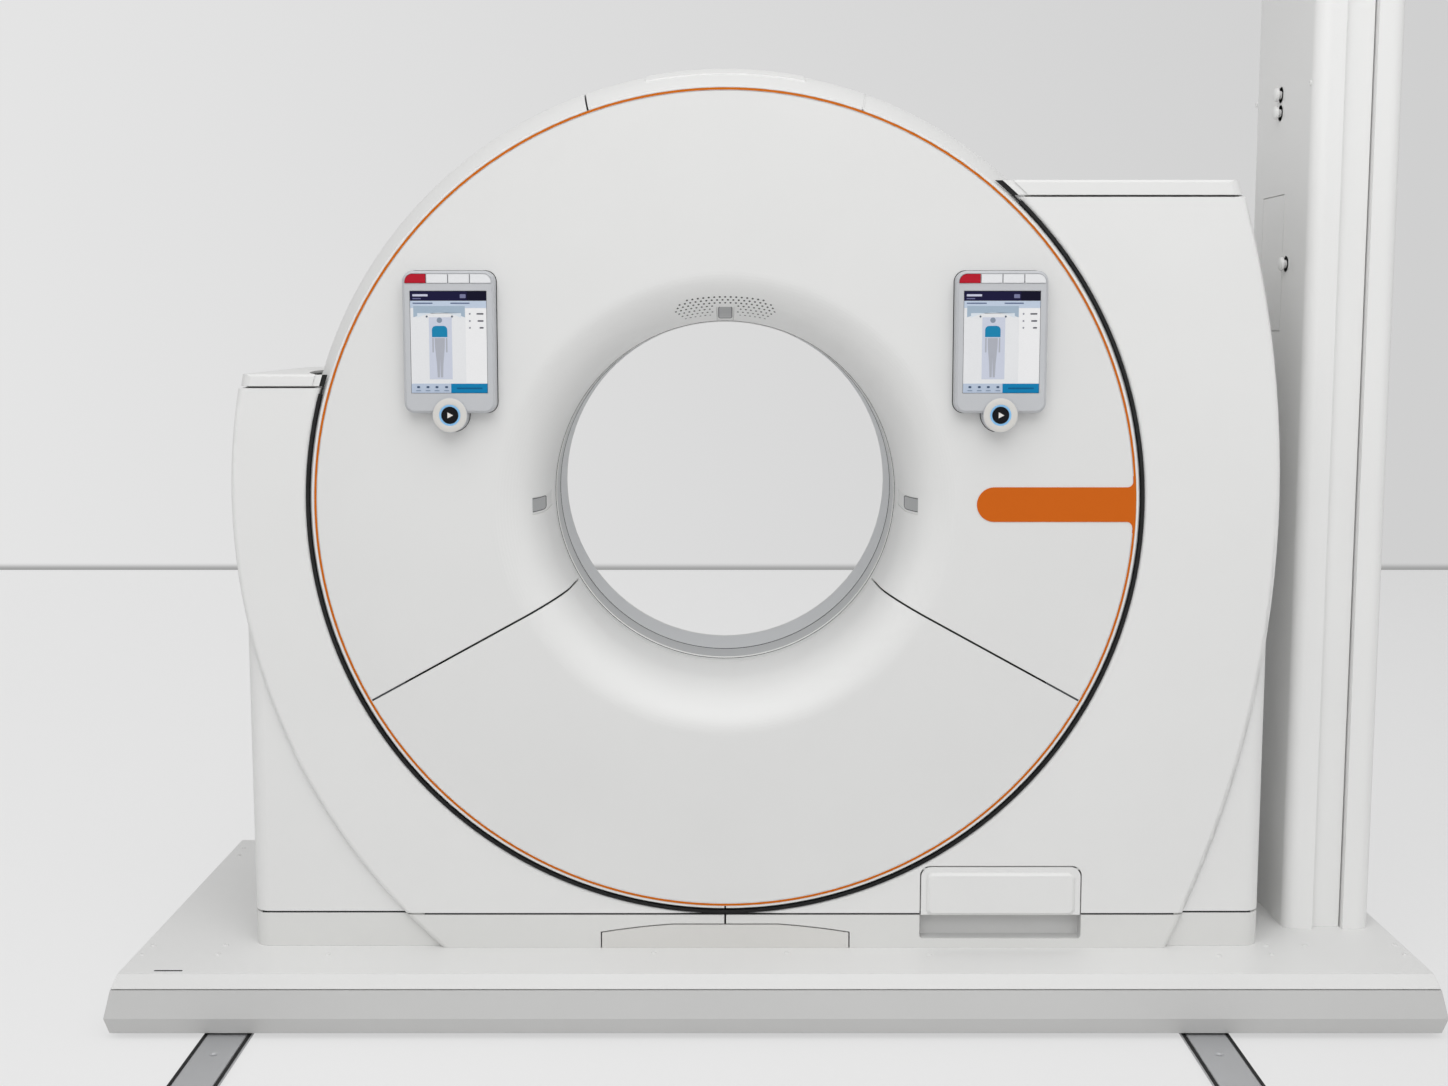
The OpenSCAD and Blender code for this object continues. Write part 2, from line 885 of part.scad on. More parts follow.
module tilt_gearmotor() {
    outer = upright_in + upright_t;
    color(rubber)
    at_bore() {
        rod_x(motor_r, outer, outer + 22);
        rod_x(motor_r - 14, outer + 22, min(outer + 120, foot(1) - wall - 4));
        rod_x(bearing_r - 2, trunnion_end + 1, outer);
    }
}

// TILTING RING

// Quarter ellipse from the front face to the straight throat
function funnel(inset, from = 0, to = 90, n = 24) = [
    for (i = [0:n])
        let (t = from + (to - from) * i / n)
        [bore_r + funnel_w - (funnel_w - inset) * sin(t),
            throat_front - (funnel_depth - inset) * cos(t)]
];

function reversed(list) = [for (i = [len(list) - 1:-1:0]) list[i]];

module face_profile() {
    polygon(concat(
        [[accent_in - trim_gap, -half_ring]],
        funnel(0),
        [[bore_r, throat_end], [bore_r + wall, throat_end]],
        reversed(funnel(wall)),
        [[accent_in - trim_gap, wall - half_ring]]));
}

// Space below the face seams, which lean down towards the rear
module below_seams(lift) {
    x = 2 * face_r * cos(seam_angle);
    z = 2 * face_r * sin(seam_angle);
    translate([0, -half_ring, 0])
        rotate([-seam_lean, 0, 0])
            along_y(-half_ring, ring_depth)
                translate([0, lift])
                    polygon([[0, 0], [x, -z], [x, -face_d], [-x, -face_d], [-x, -z]]);
}

// Part of the funnel's wall that a laser window fills, between two depths below its surface
module window_sector(a, grow, out, in) {
    turn = grow / bore_r * 180 / PI;
    half = window_half + turn;
    from = (a == 90 ? window_top_from : window_from) - turn;
    to = a == 90 ? window_top_to + turn : 90;
    end = throat_front + window_run + grow;
    run = a == 90 ? [] : [[bore_r + out, end], [bore_r + in, end]];
    revolve_part(a - half, a + half)
        polygon(concat(funnel(out, from, to, 6), run, reversed(funnel(in, from, to, 6))));
}

module face_cover(upper) {
    lift = seam / 2 / cos(seam_angle);
    color(white)
    at_bore()
    if (upper)
        difference() {
            revolve() face_profile();
            below_seams(lift);
            for (a = window_angles)
                window_sector(a, 0.4, -3, wall + 3);
        }
    else
        intersection() {
            revolve() face_profile();
            below_seams(-lift);
        }
}

// Four panels round the bore
module rear_cover() {
    flare_r = bore_r + rear_edge;
    color(white)
    at_bore()
    difference() {
        revolve()
        difference() {
            union() {
                translate([flare_r, half_ring - wall])
                    square([accent_out - flare_r, wall]);
                translate([bore_r, half_ring - 3 * rear_edge])
                    square([rear_edge + wall, 3 * rear_edge]);
            }
            difference() {
                translate([bore_r - 1, half_ring - rear_edge])
                    square([rear_edge + 1, rear_edge + 1]);
                translate([flare_r, half_ring - rear_edge]) circle(rear_edge);
            }
            translate([bore_r - 1, half_ring - 4 * rear_edge])
                square([liner_t + 1 + fit, 2 * rear_edge]);
        }
        for (turn = [0, 90])
            rotate([0, turn, 0]) block(-big, big, 0, big, -seam / 4, seam / 4);
    }
}

// Shell of the rim between two angles, with its edges turned in on to the barrel
module rim_shell(a0, a1) {
    seat = half_ring - accent_seat - fit;
    intersection() {
        union() {
            difference() {
                sphere(ball_r);
                sphere(inner_ball_r);
                for (e = [-1, 1])
                    translate([0, e * (seat + 10), 0]) rod_y(accent_out + trim_gap, -10, 10);
            }
            for (e = [-1, 1])
                translate([0, e * (seat - wall / 2), 0])
                    difference() {
                        rod_y(inner_ball_r - 60, -wall / 2, wall / 2);
                        rod_y(barrel_out + fit, -wall, wall);
                    }
        }
        sphere(ball_r);
        revolve_part(a0, a1) translate([accent_in, -half_ring]) square([200, ring_depth]);
    }
}

module rim_cover(s) {
    half_seam = asin(seam / 2 / ball_r);
    color(white)
    at_bore() on_side(s)
    difference() {
        rim_shell(-90 + half_seam, 90 - vent_angle - half_seam);
        rod_x(trunnion_r + pin_gap, 0, big);
    }
}

// Raised vent that follows the ball of the rim
module vent_block(inset) {
    half = vent_w / 2 - inset;
    half_d = vent_d / 2 - inset;
    intersection() {
        sphere(ball_r + vent_rise - inset);
        block(-half, half, -half_d, half_d, ball_r / 2, big);
    }
}

module top_vent_cover() {
    half_seam = asin(seam / 2 / ball_r);
    pitch = (vent_w - 60) / vent_slots;
    slot_l = vent_d / 2;
    color(white)
    at_bore()
    difference() {
        union() {
            rim_shell(90 - vent_angle + half_seam, 90 + vent_angle - half_seam);
            difference() {
                vent_block(0);
                sphere(inner_ball_r);
            }
        }
        vent_block(wall);
        for (i = [0:vent_slots - 1])
            translate([(i - (vent_slots - 1) / 2) * pitch, 0, 0])
                block(-pitch / 4, pitch / 4, -slot_l / 2, slot_l / 2, ball_r / 2, big);
    }
}

module accent_ring() {
    tag_r = tag_h / 2;
    color(orange)
    at_bore() {
        revolve()
            translate([accent_in, -half_ring - accent_t])
                square([accent_w, accent_seat + accent_t]);
        along_y(-half_ring - accent_t, -half_ring)
        intersection() {
            circle(accent_in + 1, $fn = 360);
            difference() {
                union() {
                    translate([accent_out - tag_l + tag_r, tag_z]) circle(tag_r);
                    translate([accent_out - tag_l + tag_r, tag_z - tag_r])
                        square([tag_l, tag_h]);
                    translate([accent_in - 14, tag_z - tag_r - 12])
                        square([20, tag_h + 24]);
                }
                for (z = [-1, 1])
                    translate([accent_in - 14, tag_z + z * (tag_r + 12)]) circle(12);
            }
        }
    }
}

// Light ring in front of the scan window, with a collar behind the covers' throat
module window_trim() {
    front = throat_end + seam;
    collar = bore_r + wall + fit;
    color(white)
    at_bore()
    revolve()
        polygon([[bore_r, front], [bore_r, window_front], [collar + 3, window_front],
            [collar + 3, throat_end - 10], [collar, throat_end - 10], [collar, front]]);
}

module scan_window() {
    lap = 12;
    outer = bore_r + liner_t;
    color(window_grey)
    at_bore()
    revolve()
        polygon([[bore_r, window_front], [bore_r, window_rear - 2], [outer + fit, window_rear - 2],
            [outer + fit, window_rear + lap], [outer + fit + 2, window_rear + lap],
            [outer + fit + 2, window_front]]);
}

module bore_liner() {
    color(pale_grey)
    at_bore()
    revolve()
        translate([bore_r, window_rear])
            square([liner_t, half_ring - 2 * rear_edge - window_rear]);
}

module laser_windows() {
    color(window_grey)
    at_bore()
    for (a = window_angles)
        window_sector(a, 0, 1.2, wall - 1);
}

module ring_frame() {
    color(steel)
    at_bore() {
        revolve() {
            translate([barrel_in, -barrel_end])
                square([barrel_out - barrel_in, 2 * barrel_end]);
            translate([barrel_out - 80, wall - half_ring])
                square([80 - trim_gap, 12]);
            translate([barrel_in - 12, half_ring - wall - 12])
                square([20, 12]);
            translate([bearing_ring_out + fit, bulkhead_y])
                square([barrel_in - bearing_ring_out, bulkhead_t]);
        }
        for (s = [-1, 1])
            on_side(s)
            difference() {
                union() {
                    rod_x(trunnion_pad_r, barrel_in - 10, trunnion_pad_x);
                    rod_x(trunnion_r, barrel_in, trunnion_end);
                }
                rod_y(barrel_in + 1, -big, big);
            }
    }
}

module main_bearing() {
    color(steel)
    at_bore()
    revolve()
        translate([bearing_ring_in, bearing_ring_y])
            square([bearing_ring_out - bearing_ring_in, bulkhead_y + bulkhead_t - bearing_ring_y]);
}

// Control panel at the bore frame's origin, its back on y = 0
module panel_body() {
    hull() {
        along_y(panel_edge - panel_t, 0) round_rect(panel_w, panel_h, panel_r, $fn = 64);
        along_y(-panel_t, 0)
            round_rect(face_w, panel_h - 2 * panel_edge, panel_r - panel_edge, $fn = 64);
    }
    translate([0, 0, -panel_h / 2 - 4]) rod_y(lobe_r, -panel_t - 4, 0);
}

panel_edge = 5;
panel_r = 22;
face_w = panel_w - 2 * panel_edge;
key_z = panel_h / 2 - panel_edge - 2 - key_h / 2;
key_pitch = face_w / 4;
key_gap = 0.6;
key_t = 7;
screen_t = 2.5;
screen_in = 0.8;
start_z = -panel_h / 2 - 4;
panel_face = half_ring + panel_t;

// Moves to the face of a panel, with y = 0 on its front
module at_panel(s) {
    at_bore() translate([s * panel_x, -panel_face, panel_z]) children();
}

// Key i of the row, cut to the round corners of the panel's face
module key_block(i, grow, depth, out) {
    along_y(-out, depth)
    intersection() {
        translate([(i - 1.5) * key_pitch, key_z])
            square([key_pitch - 1 - 2 * (key_gap - grow), key_h + 2 * grow], center = true);
        round_rect(face_w - 2 + 2 * grow, panel_h - 2 * panel_edge - 4 + 2 * grow,
            panel_r - panel_edge - 1 + grow);
    }
}

module panel(s) {
    color(pale_grey)
    at_panel(s)
    difference() {
        translate([0, panel_t, 0]) panel_body();
        for (i = [0:3])
            key_block(i, key_gap, key_t + key_travel + 1, 10);
        along_y(-10, screen_t) square([screen_w + 1, screen_h + 1], center = true);
        translate([0, 0, start_z]) rod_y(start_r + key_gap, -20, key_t + 4);
    }
}

module panel_screens() {
    color(screen_blue)
    for (s = [-1, 1])
        at_panel(s)
            along_y(screen_in, screen_t) square([screen_w, screen_h], center = true);
}

module key(s, i) {
    color(i == 0 ? key_red : white)
    at_panel(s) key_block(i, 0, key_t, 1.5);
}

module start_button(s) {
    color(screen_blue)
    at_panel(s)
        translate([0, 0, start_z]) rod_y(start_r, -6.5, key_t);
}

// ROTOR

module rotor_drum() {
    rim_front = -60;
    color(steel)
    at_bore()
    difference() {
        revolve() {
            translate([hub_in, plate_y]) square([rotor_r - hub_in, rotor_t]);
            translate([hub_in, plate_y])
                square([bearing_ring_in - fit - hub_in, bulkhead_y + bulkhead_t - plate_y]);
            translate([rotor_r - 14, rim_front]) square([14, plate_y - rim_front + 1]);
        }
        for (a = [45:90:315])
            rotate([0, a, 0]) translate([(bearing_ring_out + rotor_r) / 2, 0, 0]) rod_y(95, 0, big);
    }
}

module xray_tube() {
    z = focus_z + tube_r - 20;
    color(copper)
    at_bore() {
        translate([0, 0, z]) {
            rod_y(tube_r, -60, plate_y);
            rod_y(tube_r - 35, -100, -60);
        }
        translate([0, 0, 0]) block(-85, 85, window_front - 10, plate_y, bore_r + 60, focus_z);
    }
}

module detector() {
    half = 25;
    depth = 65;
    color(pale_grey)
    at_bore()
    translate([0, 0, focus_z])
    revolve_part(270 - half, 270 + half)
        translate([focus_l - 40, window_front - 20]) square([depth, plate_y - window_front + 20]);
}

module generator() {
    color(copper)
    at_bore()
    for (s = [-1, 1])
        on_side(s) block(bearing_ring_out + 60, rotor_r - 38, -60, plate_y, -130, 130);
}

// CABLE COLUMN

module column_outline() {
    r = 30;
    difference() {
        translate([column_w / 2, 0]) round_rect(column_w, column_d, r);
        translate([(column_w - band_w) / 2 - 1, -column_d / 2 - 1])
            square([band_w, band_depth + 1]);
        translate([(column_w + band_w) / 2 - 1, -column_d / 2 - 1])
            square([3, band_depth + 13]);
    }
}

post_wall = 8;

module column_post() {
    web = band_depth + 2 * post_wall;
    color(white)
    at_bore()
    translate([column_x, column_y, deck_z])
    difference() {
        linear_extrude(column_h) column_outline();
        translate([post_wall, web - column_d / 2, -1])
            cube([column_w - 2 * post_wall, column_d - web - post_wall, column_h - post_wall]);
        translate([0, hatch_y, hatch_z - deck_z]) {
            along_x(-1, post_wall - 3) square([hatch_w + 4, hatch_h + 4], center = true);
            along_x(-1, post_wall + 1) square([hatch_w - 16, hatch_h - 16], center = true);
        }
    }
}

module column_hatch() {
    color(white)
    at_bore()
    translate([column_x, column_y + hatch_y, hatch_z])
        along_x(0, post_wall - 3) square([hatch_w, hatch_h], center = true);
}

// PARTS

rail(-1);  // rail_left
rail(1);  // rail_right
end_stops();
carriage_frame();
deck_plate();
skirts();
wheel(-1, -1);  // wheel_front_left
wheel(1, -1);  // wheel_front_right
wheel(-1, 1);  // wheel_rear_left
wheel(1, 1);  // wheel_rear_right
upright(-1);  // upright_left
upright(1);  // upright_right
tilt_bearings();
tilt_gearmotor();
front_shell(-1);  // front_shell_left
front_shell(1);  // front_shell_right
side_shell(-1);  // side_shell_left
side_shell(1);  // side_shell_right
rear_shell(-1);  // rear_shell_left
rear_shell(1);  // rear_shell_right
tower_cap(-1);  // tower_cap_left
tower_cap(1);  // tower_cap_right
plinth(-1);  // plinth_left
plinth(1);  // plinth_right
dock_cover();
service_pocket();
service_flap();
rim_seals();
column_post();
column_hatch();
ring_frame();
main_bearing();
face_cover(true);  // face_cover_upper
face_cover(false);  // face_cover_lower
rear_cover();
rim_cover(-1);  // rim_cover_left
rim_cover(1);  // rim_cover_right
top_vent_cover();
accent_ring();
window_trim();
scan_window();
bore_liner();
laser_windows();
panel(-1);  // panel_left
panel(1);  // panel_right
panel_screens();
key(-1, 0);  // left_stop_key
key(-1, 1);  // left_key_a
key(-1, 2);  // left_key_b
key(-1, 3);  // left_key_c
start_button(-1);  // left_start_button
key(1, 0);  // right_stop_key
key(1, 1);  // right_key_a
key(1, 2);  // right_key_b
key(1, 3);  // right_key_c
start_button(1);  // right_start_button
rotor_drum();
xray_tube();
detector();
generator();
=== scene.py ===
"""Finishes, small fittings and studio for a tomography scanner on floor rails.

The solid model gives every main form. This file adds what is too thin or too small for it: the
screens' picture, the start buttons' lamps, the speaker holes, thin seals and lips, the screws and
knobs, and the surface of each material.
"""

import json
import math

import bmesh
import bpy
import numpy as np
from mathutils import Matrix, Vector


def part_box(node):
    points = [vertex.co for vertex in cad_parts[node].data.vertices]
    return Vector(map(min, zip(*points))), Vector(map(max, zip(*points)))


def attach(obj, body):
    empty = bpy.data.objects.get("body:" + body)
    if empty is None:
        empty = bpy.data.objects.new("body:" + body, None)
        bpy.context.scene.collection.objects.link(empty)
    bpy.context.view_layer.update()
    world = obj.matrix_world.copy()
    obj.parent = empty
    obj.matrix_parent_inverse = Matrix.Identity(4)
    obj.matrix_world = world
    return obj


bl_info = {
    "name": "Tomography scanner",
    "version": (1, 0, 0),
    "blender": (4, 5, 0),
    "location": "View3D > Sidebar > Scanner",
    "description": "Finishes, fittings and studio of a tilting tomography scanner on rails",
    "category": "Object",
}

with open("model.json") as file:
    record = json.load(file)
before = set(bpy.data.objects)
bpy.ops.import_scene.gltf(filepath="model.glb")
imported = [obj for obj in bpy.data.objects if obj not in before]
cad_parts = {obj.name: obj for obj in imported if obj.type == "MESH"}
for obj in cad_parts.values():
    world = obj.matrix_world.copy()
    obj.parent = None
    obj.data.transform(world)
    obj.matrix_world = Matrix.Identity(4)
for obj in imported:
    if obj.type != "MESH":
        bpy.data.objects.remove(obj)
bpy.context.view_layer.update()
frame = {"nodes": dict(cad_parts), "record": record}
NODES = frame["nodes"]
MM = 0.001

# Places that the solid model sets, in metres
FACE_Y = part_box("face_cover_upper")[0][1]
PANEL_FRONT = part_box("panel_left")[0][1]
SCREEN_LOW, SCREEN_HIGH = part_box("panel_screens")
LINER_LOW, LINER_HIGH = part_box("bore_liner")
TRIM_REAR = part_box("window_trim")[1][1]
COLUMN_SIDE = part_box("column_post")[0][0]
DECK_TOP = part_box("deck_plate")[1][2]
BORE_X = (LINER_LOW[0] + LINER_HIGH[0]) / 2
BORE_Z = (LINER_LOW[2] + LINER_HIGH[2]) / 2
RING_POINTS = np.array([v.co for v in NODES["accent_ring"].data.vertices])
RING_MIDDLE = (RING_POINTS.min(0) + RING_POINTS.max(0)) / 2
RING_OUT = float(np.ptp(RING_POINTS[:, 0])) / 2

# Sizes of the solid model that the boxes of its nodes don't show, in metres
BALL_RADIUS = 935.9 * MM
STAND_FRONT = -340 * MM
PLINTH_SEAM = 211 * MM
ACCENT_WIDTH = 5.5 * MM
PANEL_WIDTH = 189 * MM
PANEL_HEIGHT = 292 * MM
PANEL_CORNER = 22 * MM
LOBE_RADIUS = 36 * MM
LOBE_DROP = 4 * MM


# COLOURS AND NODES


def linear(code):
    """An sRGB hex colour as linear light, with its alpha."""
    parts = [int(code[i : i + 2], 16) / 255 for i in (1, 3, 5)]
    return tuple(c / 12.92 if c <= 0.04045 else ((c + 0.055) / 1.055) ** 2.4 for c in parts) + (1.0,)


def add_node(tree, kind, settings=None, links=None):
    """Adds a shader node, with its settings and the sockets that feed it."""
    node = tree.nodes.new(kind)
    for key, value in (settings or {}).items():
        if isinstance(key, int) or key in node.inputs:
            node.inputs[key].default_value = value
        else:
            setattr(node, key, value)
    for key, source in (links or {}).items():
        tree.links.new(source, node.inputs[key])
    return node


def calc(tree, operation, *values):
    """The result of an operation on shader sockets and numbers."""
    numbers = {k: v for k, v in enumerate(values) if isinstance(v, float)}
    sockets = {k: v for k, v in enumerate(values) if not isinstance(v, float)}
    return add_node(tree, "ShaderNodeMath", {"operation": operation, **numbers}, sockets).outputs[0]


def blend(tree, factor, first, second):
    """A colour between two, each given as a hex code or a socket."""
    codes = {k: linear(c) for k, c in ((6, first), (7, second)) if isinstance(c, str)}
    sockets = {k: c for k, c in ((6, first), (7, second)) if not isinstance(c, str)}
    return add_node(
        tree, "ShaderNodeMix", {"data_type": "RGBA", **codes}, {0: factor, **sockets}
    ).outputs[2]


def bore_place(tree, coords):
    """A point's X and Z from the bore's axis, its distance from that axis, and its depth."""
    split = add_node(tree, "ShaderNodeSeparateXYZ", None, {"Vector": coords}).outputs
    x = calc(tree, "SUBTRACT", split["X"], float(RING_MIDDLE[0]))
    z = calc(tree, "SUBTRACT", split["Z"], float(RING_MIDDLE[2]))
    squares = calc(tree, "ADD", calc(tree, "MULTIPLY", x, x), calc(tree, "MULTIPLY", z, z))
    return x, z, calc(tree, "SQRT", squares), split["Y"]


def new_material(name):
    """An empty material with its output node."""
    material = bpy.data.materials.new(name)
    material.use_nodes = True
    tree = material.node_tree
    tree.nodes.clear()
    return material, tree, add_node(tree, "ShaderNodeOutputMaterial")


def finish_surface(
    name, low, high, rough, patch, grain, grain_depth, shader=None, stretch=None, edge=0.002,
    field=None,
):
    """A surface with two close tones, a roughness that wanders between two values, and a grain.

    patch is the size of the tone's clouds and grain that of the surface texture, both in metres.
    grain_depth is the texture's height in metres, and stretch the grain's length along X, Y and Z.
    edge is the radius to which the finish softens the look of the sharp edges, in metres, and
    field a function that limits the tone to a part of the piece.
    """
    material, tree, out = new_material(name)
    coords = add_node(tree, "ShaderNodeTexCoord").outputs["Object"]
    clouds = add_node(
        tree,
        "ShaderNodeTexNoise",
        {"Scale": 1 / patch, "Detail": 3.0, "Roughness": 0.55},
        {"Vector": coords},
    ).outputs["Fac"]
    tone = blend(tree, clouds, low, high)
    if field:
        tone = field(tree, coords, tone)
    gloss = add_node(
        tree,
        "ShaderNodeMapRange",
        {"From Min": 0.3, "From Max": 0.7, "To Min": rough[0], "To Max": rough[1]},
        {"Value": clouds},
    ).outputs["Result"]
    vector = coords
    if stretch:
        vector = add_node(
            tree, "ShaderNodeMapping", {"Scale": tuple(1 / s for s in stretch)}, {"Vector": coords}
        ).outputs["Vector"]
    texture = add_node(
        tree,
        "ShaderNodeTexNoise",
        {"Scale": 1 / grain, "Detail": 2.0, "Roughness": 0.5},
        {"Vector": vector},
    ).outputs["Fac"]
    soft = add_node(tree, "ShaderNodeBevel", {"samples": 4, "Radius": edge}).outputs["Normal"]
    bump = add_node(
        tree,
        "ShaderNodeBump",
        {"Strength": 1.0, "Distance": grain_depth},
        {"Height": texture, "Normal": soft},
    ).outputs["Normal"]
    principled = add_node(
        tree,
        "ShaderNodeBsdfPrincipled",
        shader,
        {"Base Color": tone, "Roughness": gloss, "Normal": bump},
    )
    tree.links.new(principled.outputs["BSDF"], out.inputs["Surface"])
    return material


def studio_surface(name, tones, shade, share, foot=None):
    """Paint of the floor or the wall, which the camera sees partly at its own even brightness.

    tones are the colours at the left and the right, a painted fall of light from one side to the
    other, shade those of the light that falls on it, and share how much of the even brightness the
    camera sees; the rest keeps the shadows. foot paints shade into the lowest few centimetres of the
    wall, where it meets the floor. From behind, the surface is clear, so that the object's rear side
    can be seen through the wall.
    """
    left, right = -4.6, 4.0
    material, tree, out = new_material(name)
    coords = add_node(tree, "ShaderNodeTexCoord").outputs["Object"]
    split = add_node(tree, "ShaderNodeSeparateXYZ", None, {"Vector": coords})
    across = add_node(
        tree, "ShaderNodeMapRange", {"From Min": left, "From Max": right}, {"Value": split.outputs["X"]}
    ).outputs["Result"]
    # The tones from left to right paint the fall of the studio's light across the surface.
    even = blend(tree, across, *tones)
    if foot:
        rise = add_node(
            tree,
            "ShaderNodeMapRange",
            {"From Max": foot, "To Min": 1.0, "To Max": 0.0, "interpolation_type": "SMOOTHERSTEP"},
            {"Value": split.outputs["Z"]},
        ).outputs["Result"]
        # Painted shade at the wall's foot, where it meets the floor.
        even = blend(tree, rise, even, "#9E9E9E")
    glow = add_node(tree, "ShaderNodeEmission", {"Strength": 1.0}, {"Color": even})
    paint = add_node(tree, "ShaderNodeBsdfPrincipled", {"Base Color": linear(shade), "Roughness": 0.8})
    path = add_node(tree, "ShaderNodeLightPath").outputs
    seen = path["Is Camera Ray"]
    for ray in ("Is Glossy Ray", "Is Transmission Ray"):
        seen = calc(tree, "MAXIMUM", seen, path[ray])
    mix = calc(tree, "MULTIPLY", seen, share)
    mixed = add_node(
        tree, "ShaderNodeMixShader", None, {0: mix, 1: paint.outputs[0], 2: glow.outputs[0]}
    ).outputs[0]
    behind = add_node(tree, "ShaderNodeNewGeometry").outputs["Backfacing"]
    clear = add_node(tree, "ShaderNodeBsdfTransparent").outputs[0]
    mixed = add_node(tree, "ShaderNodeMixShader", None, {0: behind, 1: mixed, 2: clear}).outputs[0]
    tree.links.new(mixed, out.inputs["Surface"])
    return material


def plain_colour(name, code, rough, shader=None):
    """A small printed or moulded field, whose tone wanders by a few parts in a hundred."""
    material, tree, out = new_material(name)
    coords = add_node(tree, "ShaderNodeTexCoord").outputs["Object"]
    speck = add_node(
        tree, "ShaderNodeTexNoise", {"Scale": 900.0, "Detail": 1.0}, {"Vector": coords}
    ).outputs["Fac"]
    dim = tuple(0.9 * c for c in linear(code)[:3]) + (1.0,)
    tone = add_node(
        tree, "ShaderNodeMix", {"data_type": "RGBA", 6: dim, 7: linear(code)}, {0: speck}
    ).outputs[2]
    principled = add_node(
        tree,
        "ShaderNodeBsdfPrincipled",
        {"Roughness": rough, **(shader or {})},
        {"Base Color": tone},
    )
    tree.links.new(principled.outputs["BSDF"], out.inputs["Surface"])
    return material


# SHAPES


def mesh_object(name, points, faces, material, smooth=True):
    """A mesh object at the origin from an array of points and a list of faces."""
    mesh = bpy.data.meshes.new(name)
    mesh.from_pydata(np.asarray(points, float).tolist(), [], [list(map(int, f)) for f in faces])
    mesh.polygons.foreach_set("use_smooth", np.full(len(mesh.polygons), smooth))
    mesh.update()
    obj = bpy.data.objects.new(name, mesh)
    bpy.context.scene.collection.objects.link(obj)
    for m in material if isinstance(material, list) else [material]:
        mesh.materials.append(m)
    return obj


def grid_faces(rows, cols, wrap=False):
    """Quads of a grid of points; wrap joins each row's last point to its first."""
    r = np.arange(rows - 1)[:, None]
    c = np.arange(cols if wrap else cols - 1)[None, :]
    n = (c + 1) % cols
    a, b = r * cols + c, r * cols + n
    return np.stack([a, b, b + cols, a + cols], -1).reshape(-1, 4)


def turned(profile, places, directions, segments):
    """A profile of (radius, height) turned about each direction at each place.

    A point of the profile lies at place + height * direction + radius * (cos a * u + sin a * v),
    where u and v are square to the direction.
    """
    profile = np.asarray(profile, float)
    places = np.atleast_2d(np.asarray(places, float))
    directions = np.broadcast_to(np.asarray(directions, float), places.shape)
    up = np.where(np.abs(directions[:, 2:3]) > 0.9, [[1.0, 0.0, 0.0]], [[0.0, 0.0, 1.0]])
    u = np.cross(up, directions)
    u /= np.linalg.norm(u, axis=1, keepdims=True)
    v = np.cross(directions, u)
    a = np.linspace(0, 2 * math.pi, segments, endpoint=False)
    ring = np.cos(a)[None, :, None] * u[:, None, :] + np.sin(a)[None, :, None] * v[:, None, :]
    points = (
        places[:, None, None, :]
        + profile[None, :, 1, None, None] * directions[:, None, None, :]
        + profile[None, :, 0, None, None] * ring[:, None, :, :]
    )
    one = grid_faces(len(profile), segments, wrap=True)
    count = len(profile) * segments
    faces = (one[None] + count * np.arange(len(places))[:, None, None]).reshape(-1, 4)
    return points.reshape(-1, 3), faces


def fitting(name, profile, places, direction, material, body, segments=20):
    """Turned fittings, such as screws and knobs, closed at their tips."""
    points, faces = turned(profile, places, direction, segments)
    obj = mesh_object(name, points, faces, material)
    clean(obj)
    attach(obj, body)


def clean(obj, sharp=35):
    """Merges doubled points, turns the faces outwards, and keeps the sharp edges sharp."""
    mesh = bmesh.new()
    mesh.from_mesh(obj.data)
    bmesh.ops.remove_doubles(mesh, verts=mesh.verts, dist=1e-6)
    flat = [f for f in mesh.faces if f.calc_area() < 1e-12]
    bmesh.ops.delete(mesh, geom=flat, context="FACES")
    bmesh.ops.recalc_face_normals(mesh, faces=mesh.faces)
    mesh.to_mesh(obj.data)
    mesh.free()
    obj.data.set_sharp_from_angle(angle=math.radians(sharp))


def rounded_outline(width, height, radius, steps=8):
    """Points round a rectangle with round corners: a quarter circle about each corner's centre."""
    t = np.linspace(0, math.pi / 2, steps)
    arcs = []
    for k, (sx, sz) in enumerate([(1, 1), (-1, 1), (-1, -1), (1, -1)]):
        a = t + k * math.pi / 2
        centre = np.array([sx * (width / 2 - radius), sz * (height / 2 - radius)])
        arcs.append(centre + radius * np.stack([np.cos(a), np.sin(a)], -1))
    return np.concatenate(arcs)


def plate(outline, centre, front, back):
    """A flat plate in X and Z with its outline from front to back in Y, closed at both ends."""
    n = len(outline)
    x, z = outline[:, 0] + centre[0], outline[:, 1] + centre[1]
    points = np.concatenate(
        [np.stack([x, np.full(n, y), z], -1) for y in (front, back)]
    )
    k = np.arange(n)
    sides = np.stack([k, (k + 1) % n, (k + 1) % n + n, k + n], -1)
    return points, [list(k), *sides.tolist(), list(k[::-1] + n)]


def strip(name, corners, slot, body):
    """A closed strip of four-sided section, from the four rows of points at its corners."""
    points = np.stack(corners, 1).reshape(-1, 3)
    faces = grid_faces(len(corners[0]), 4, wrap=True).tolist()
    faces += [[0, 1, 2, 3], [len(points) - k for k in (1, 2, 3, 4)]]
    obj = mesh_object(name, points, faces, finish_of(slot), smooth=False)
    clean(obj)
    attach(obj, body)


def band(inner, outer, front, back):
    """The corner rows of a flat band between two curves in X and Z about the bore's axis."""
    return [
        np.stack([BORE_X + curve[:, 0], np.full(len(curve), y), BORE_Z + curve[:, 1]], -1)
        for curve, y in ((inner, front), (outer, front), (outer, back), (inner, back))
    ]


def funnel_point(t, angle):
    """A point on the funnel: a quarter ellipse turned about the bore.

    Its radius is the mouth's radius less the funnel's width times sin t, and its depth is the
    rear end less the funnel's depth times cos t.
    """
    size = bpy.context.scene.scanner_sizes
    r = (size.bore + size.funnel_width) - size.funnel_width * np.sin(t)
    y = FACE_Y + size.funnel_depth * (1 - np.cos(t))
    return np.stack([BORE_X + r * np.cos(angle), y, BORE_Z + r * np.sin(angle)], -1)


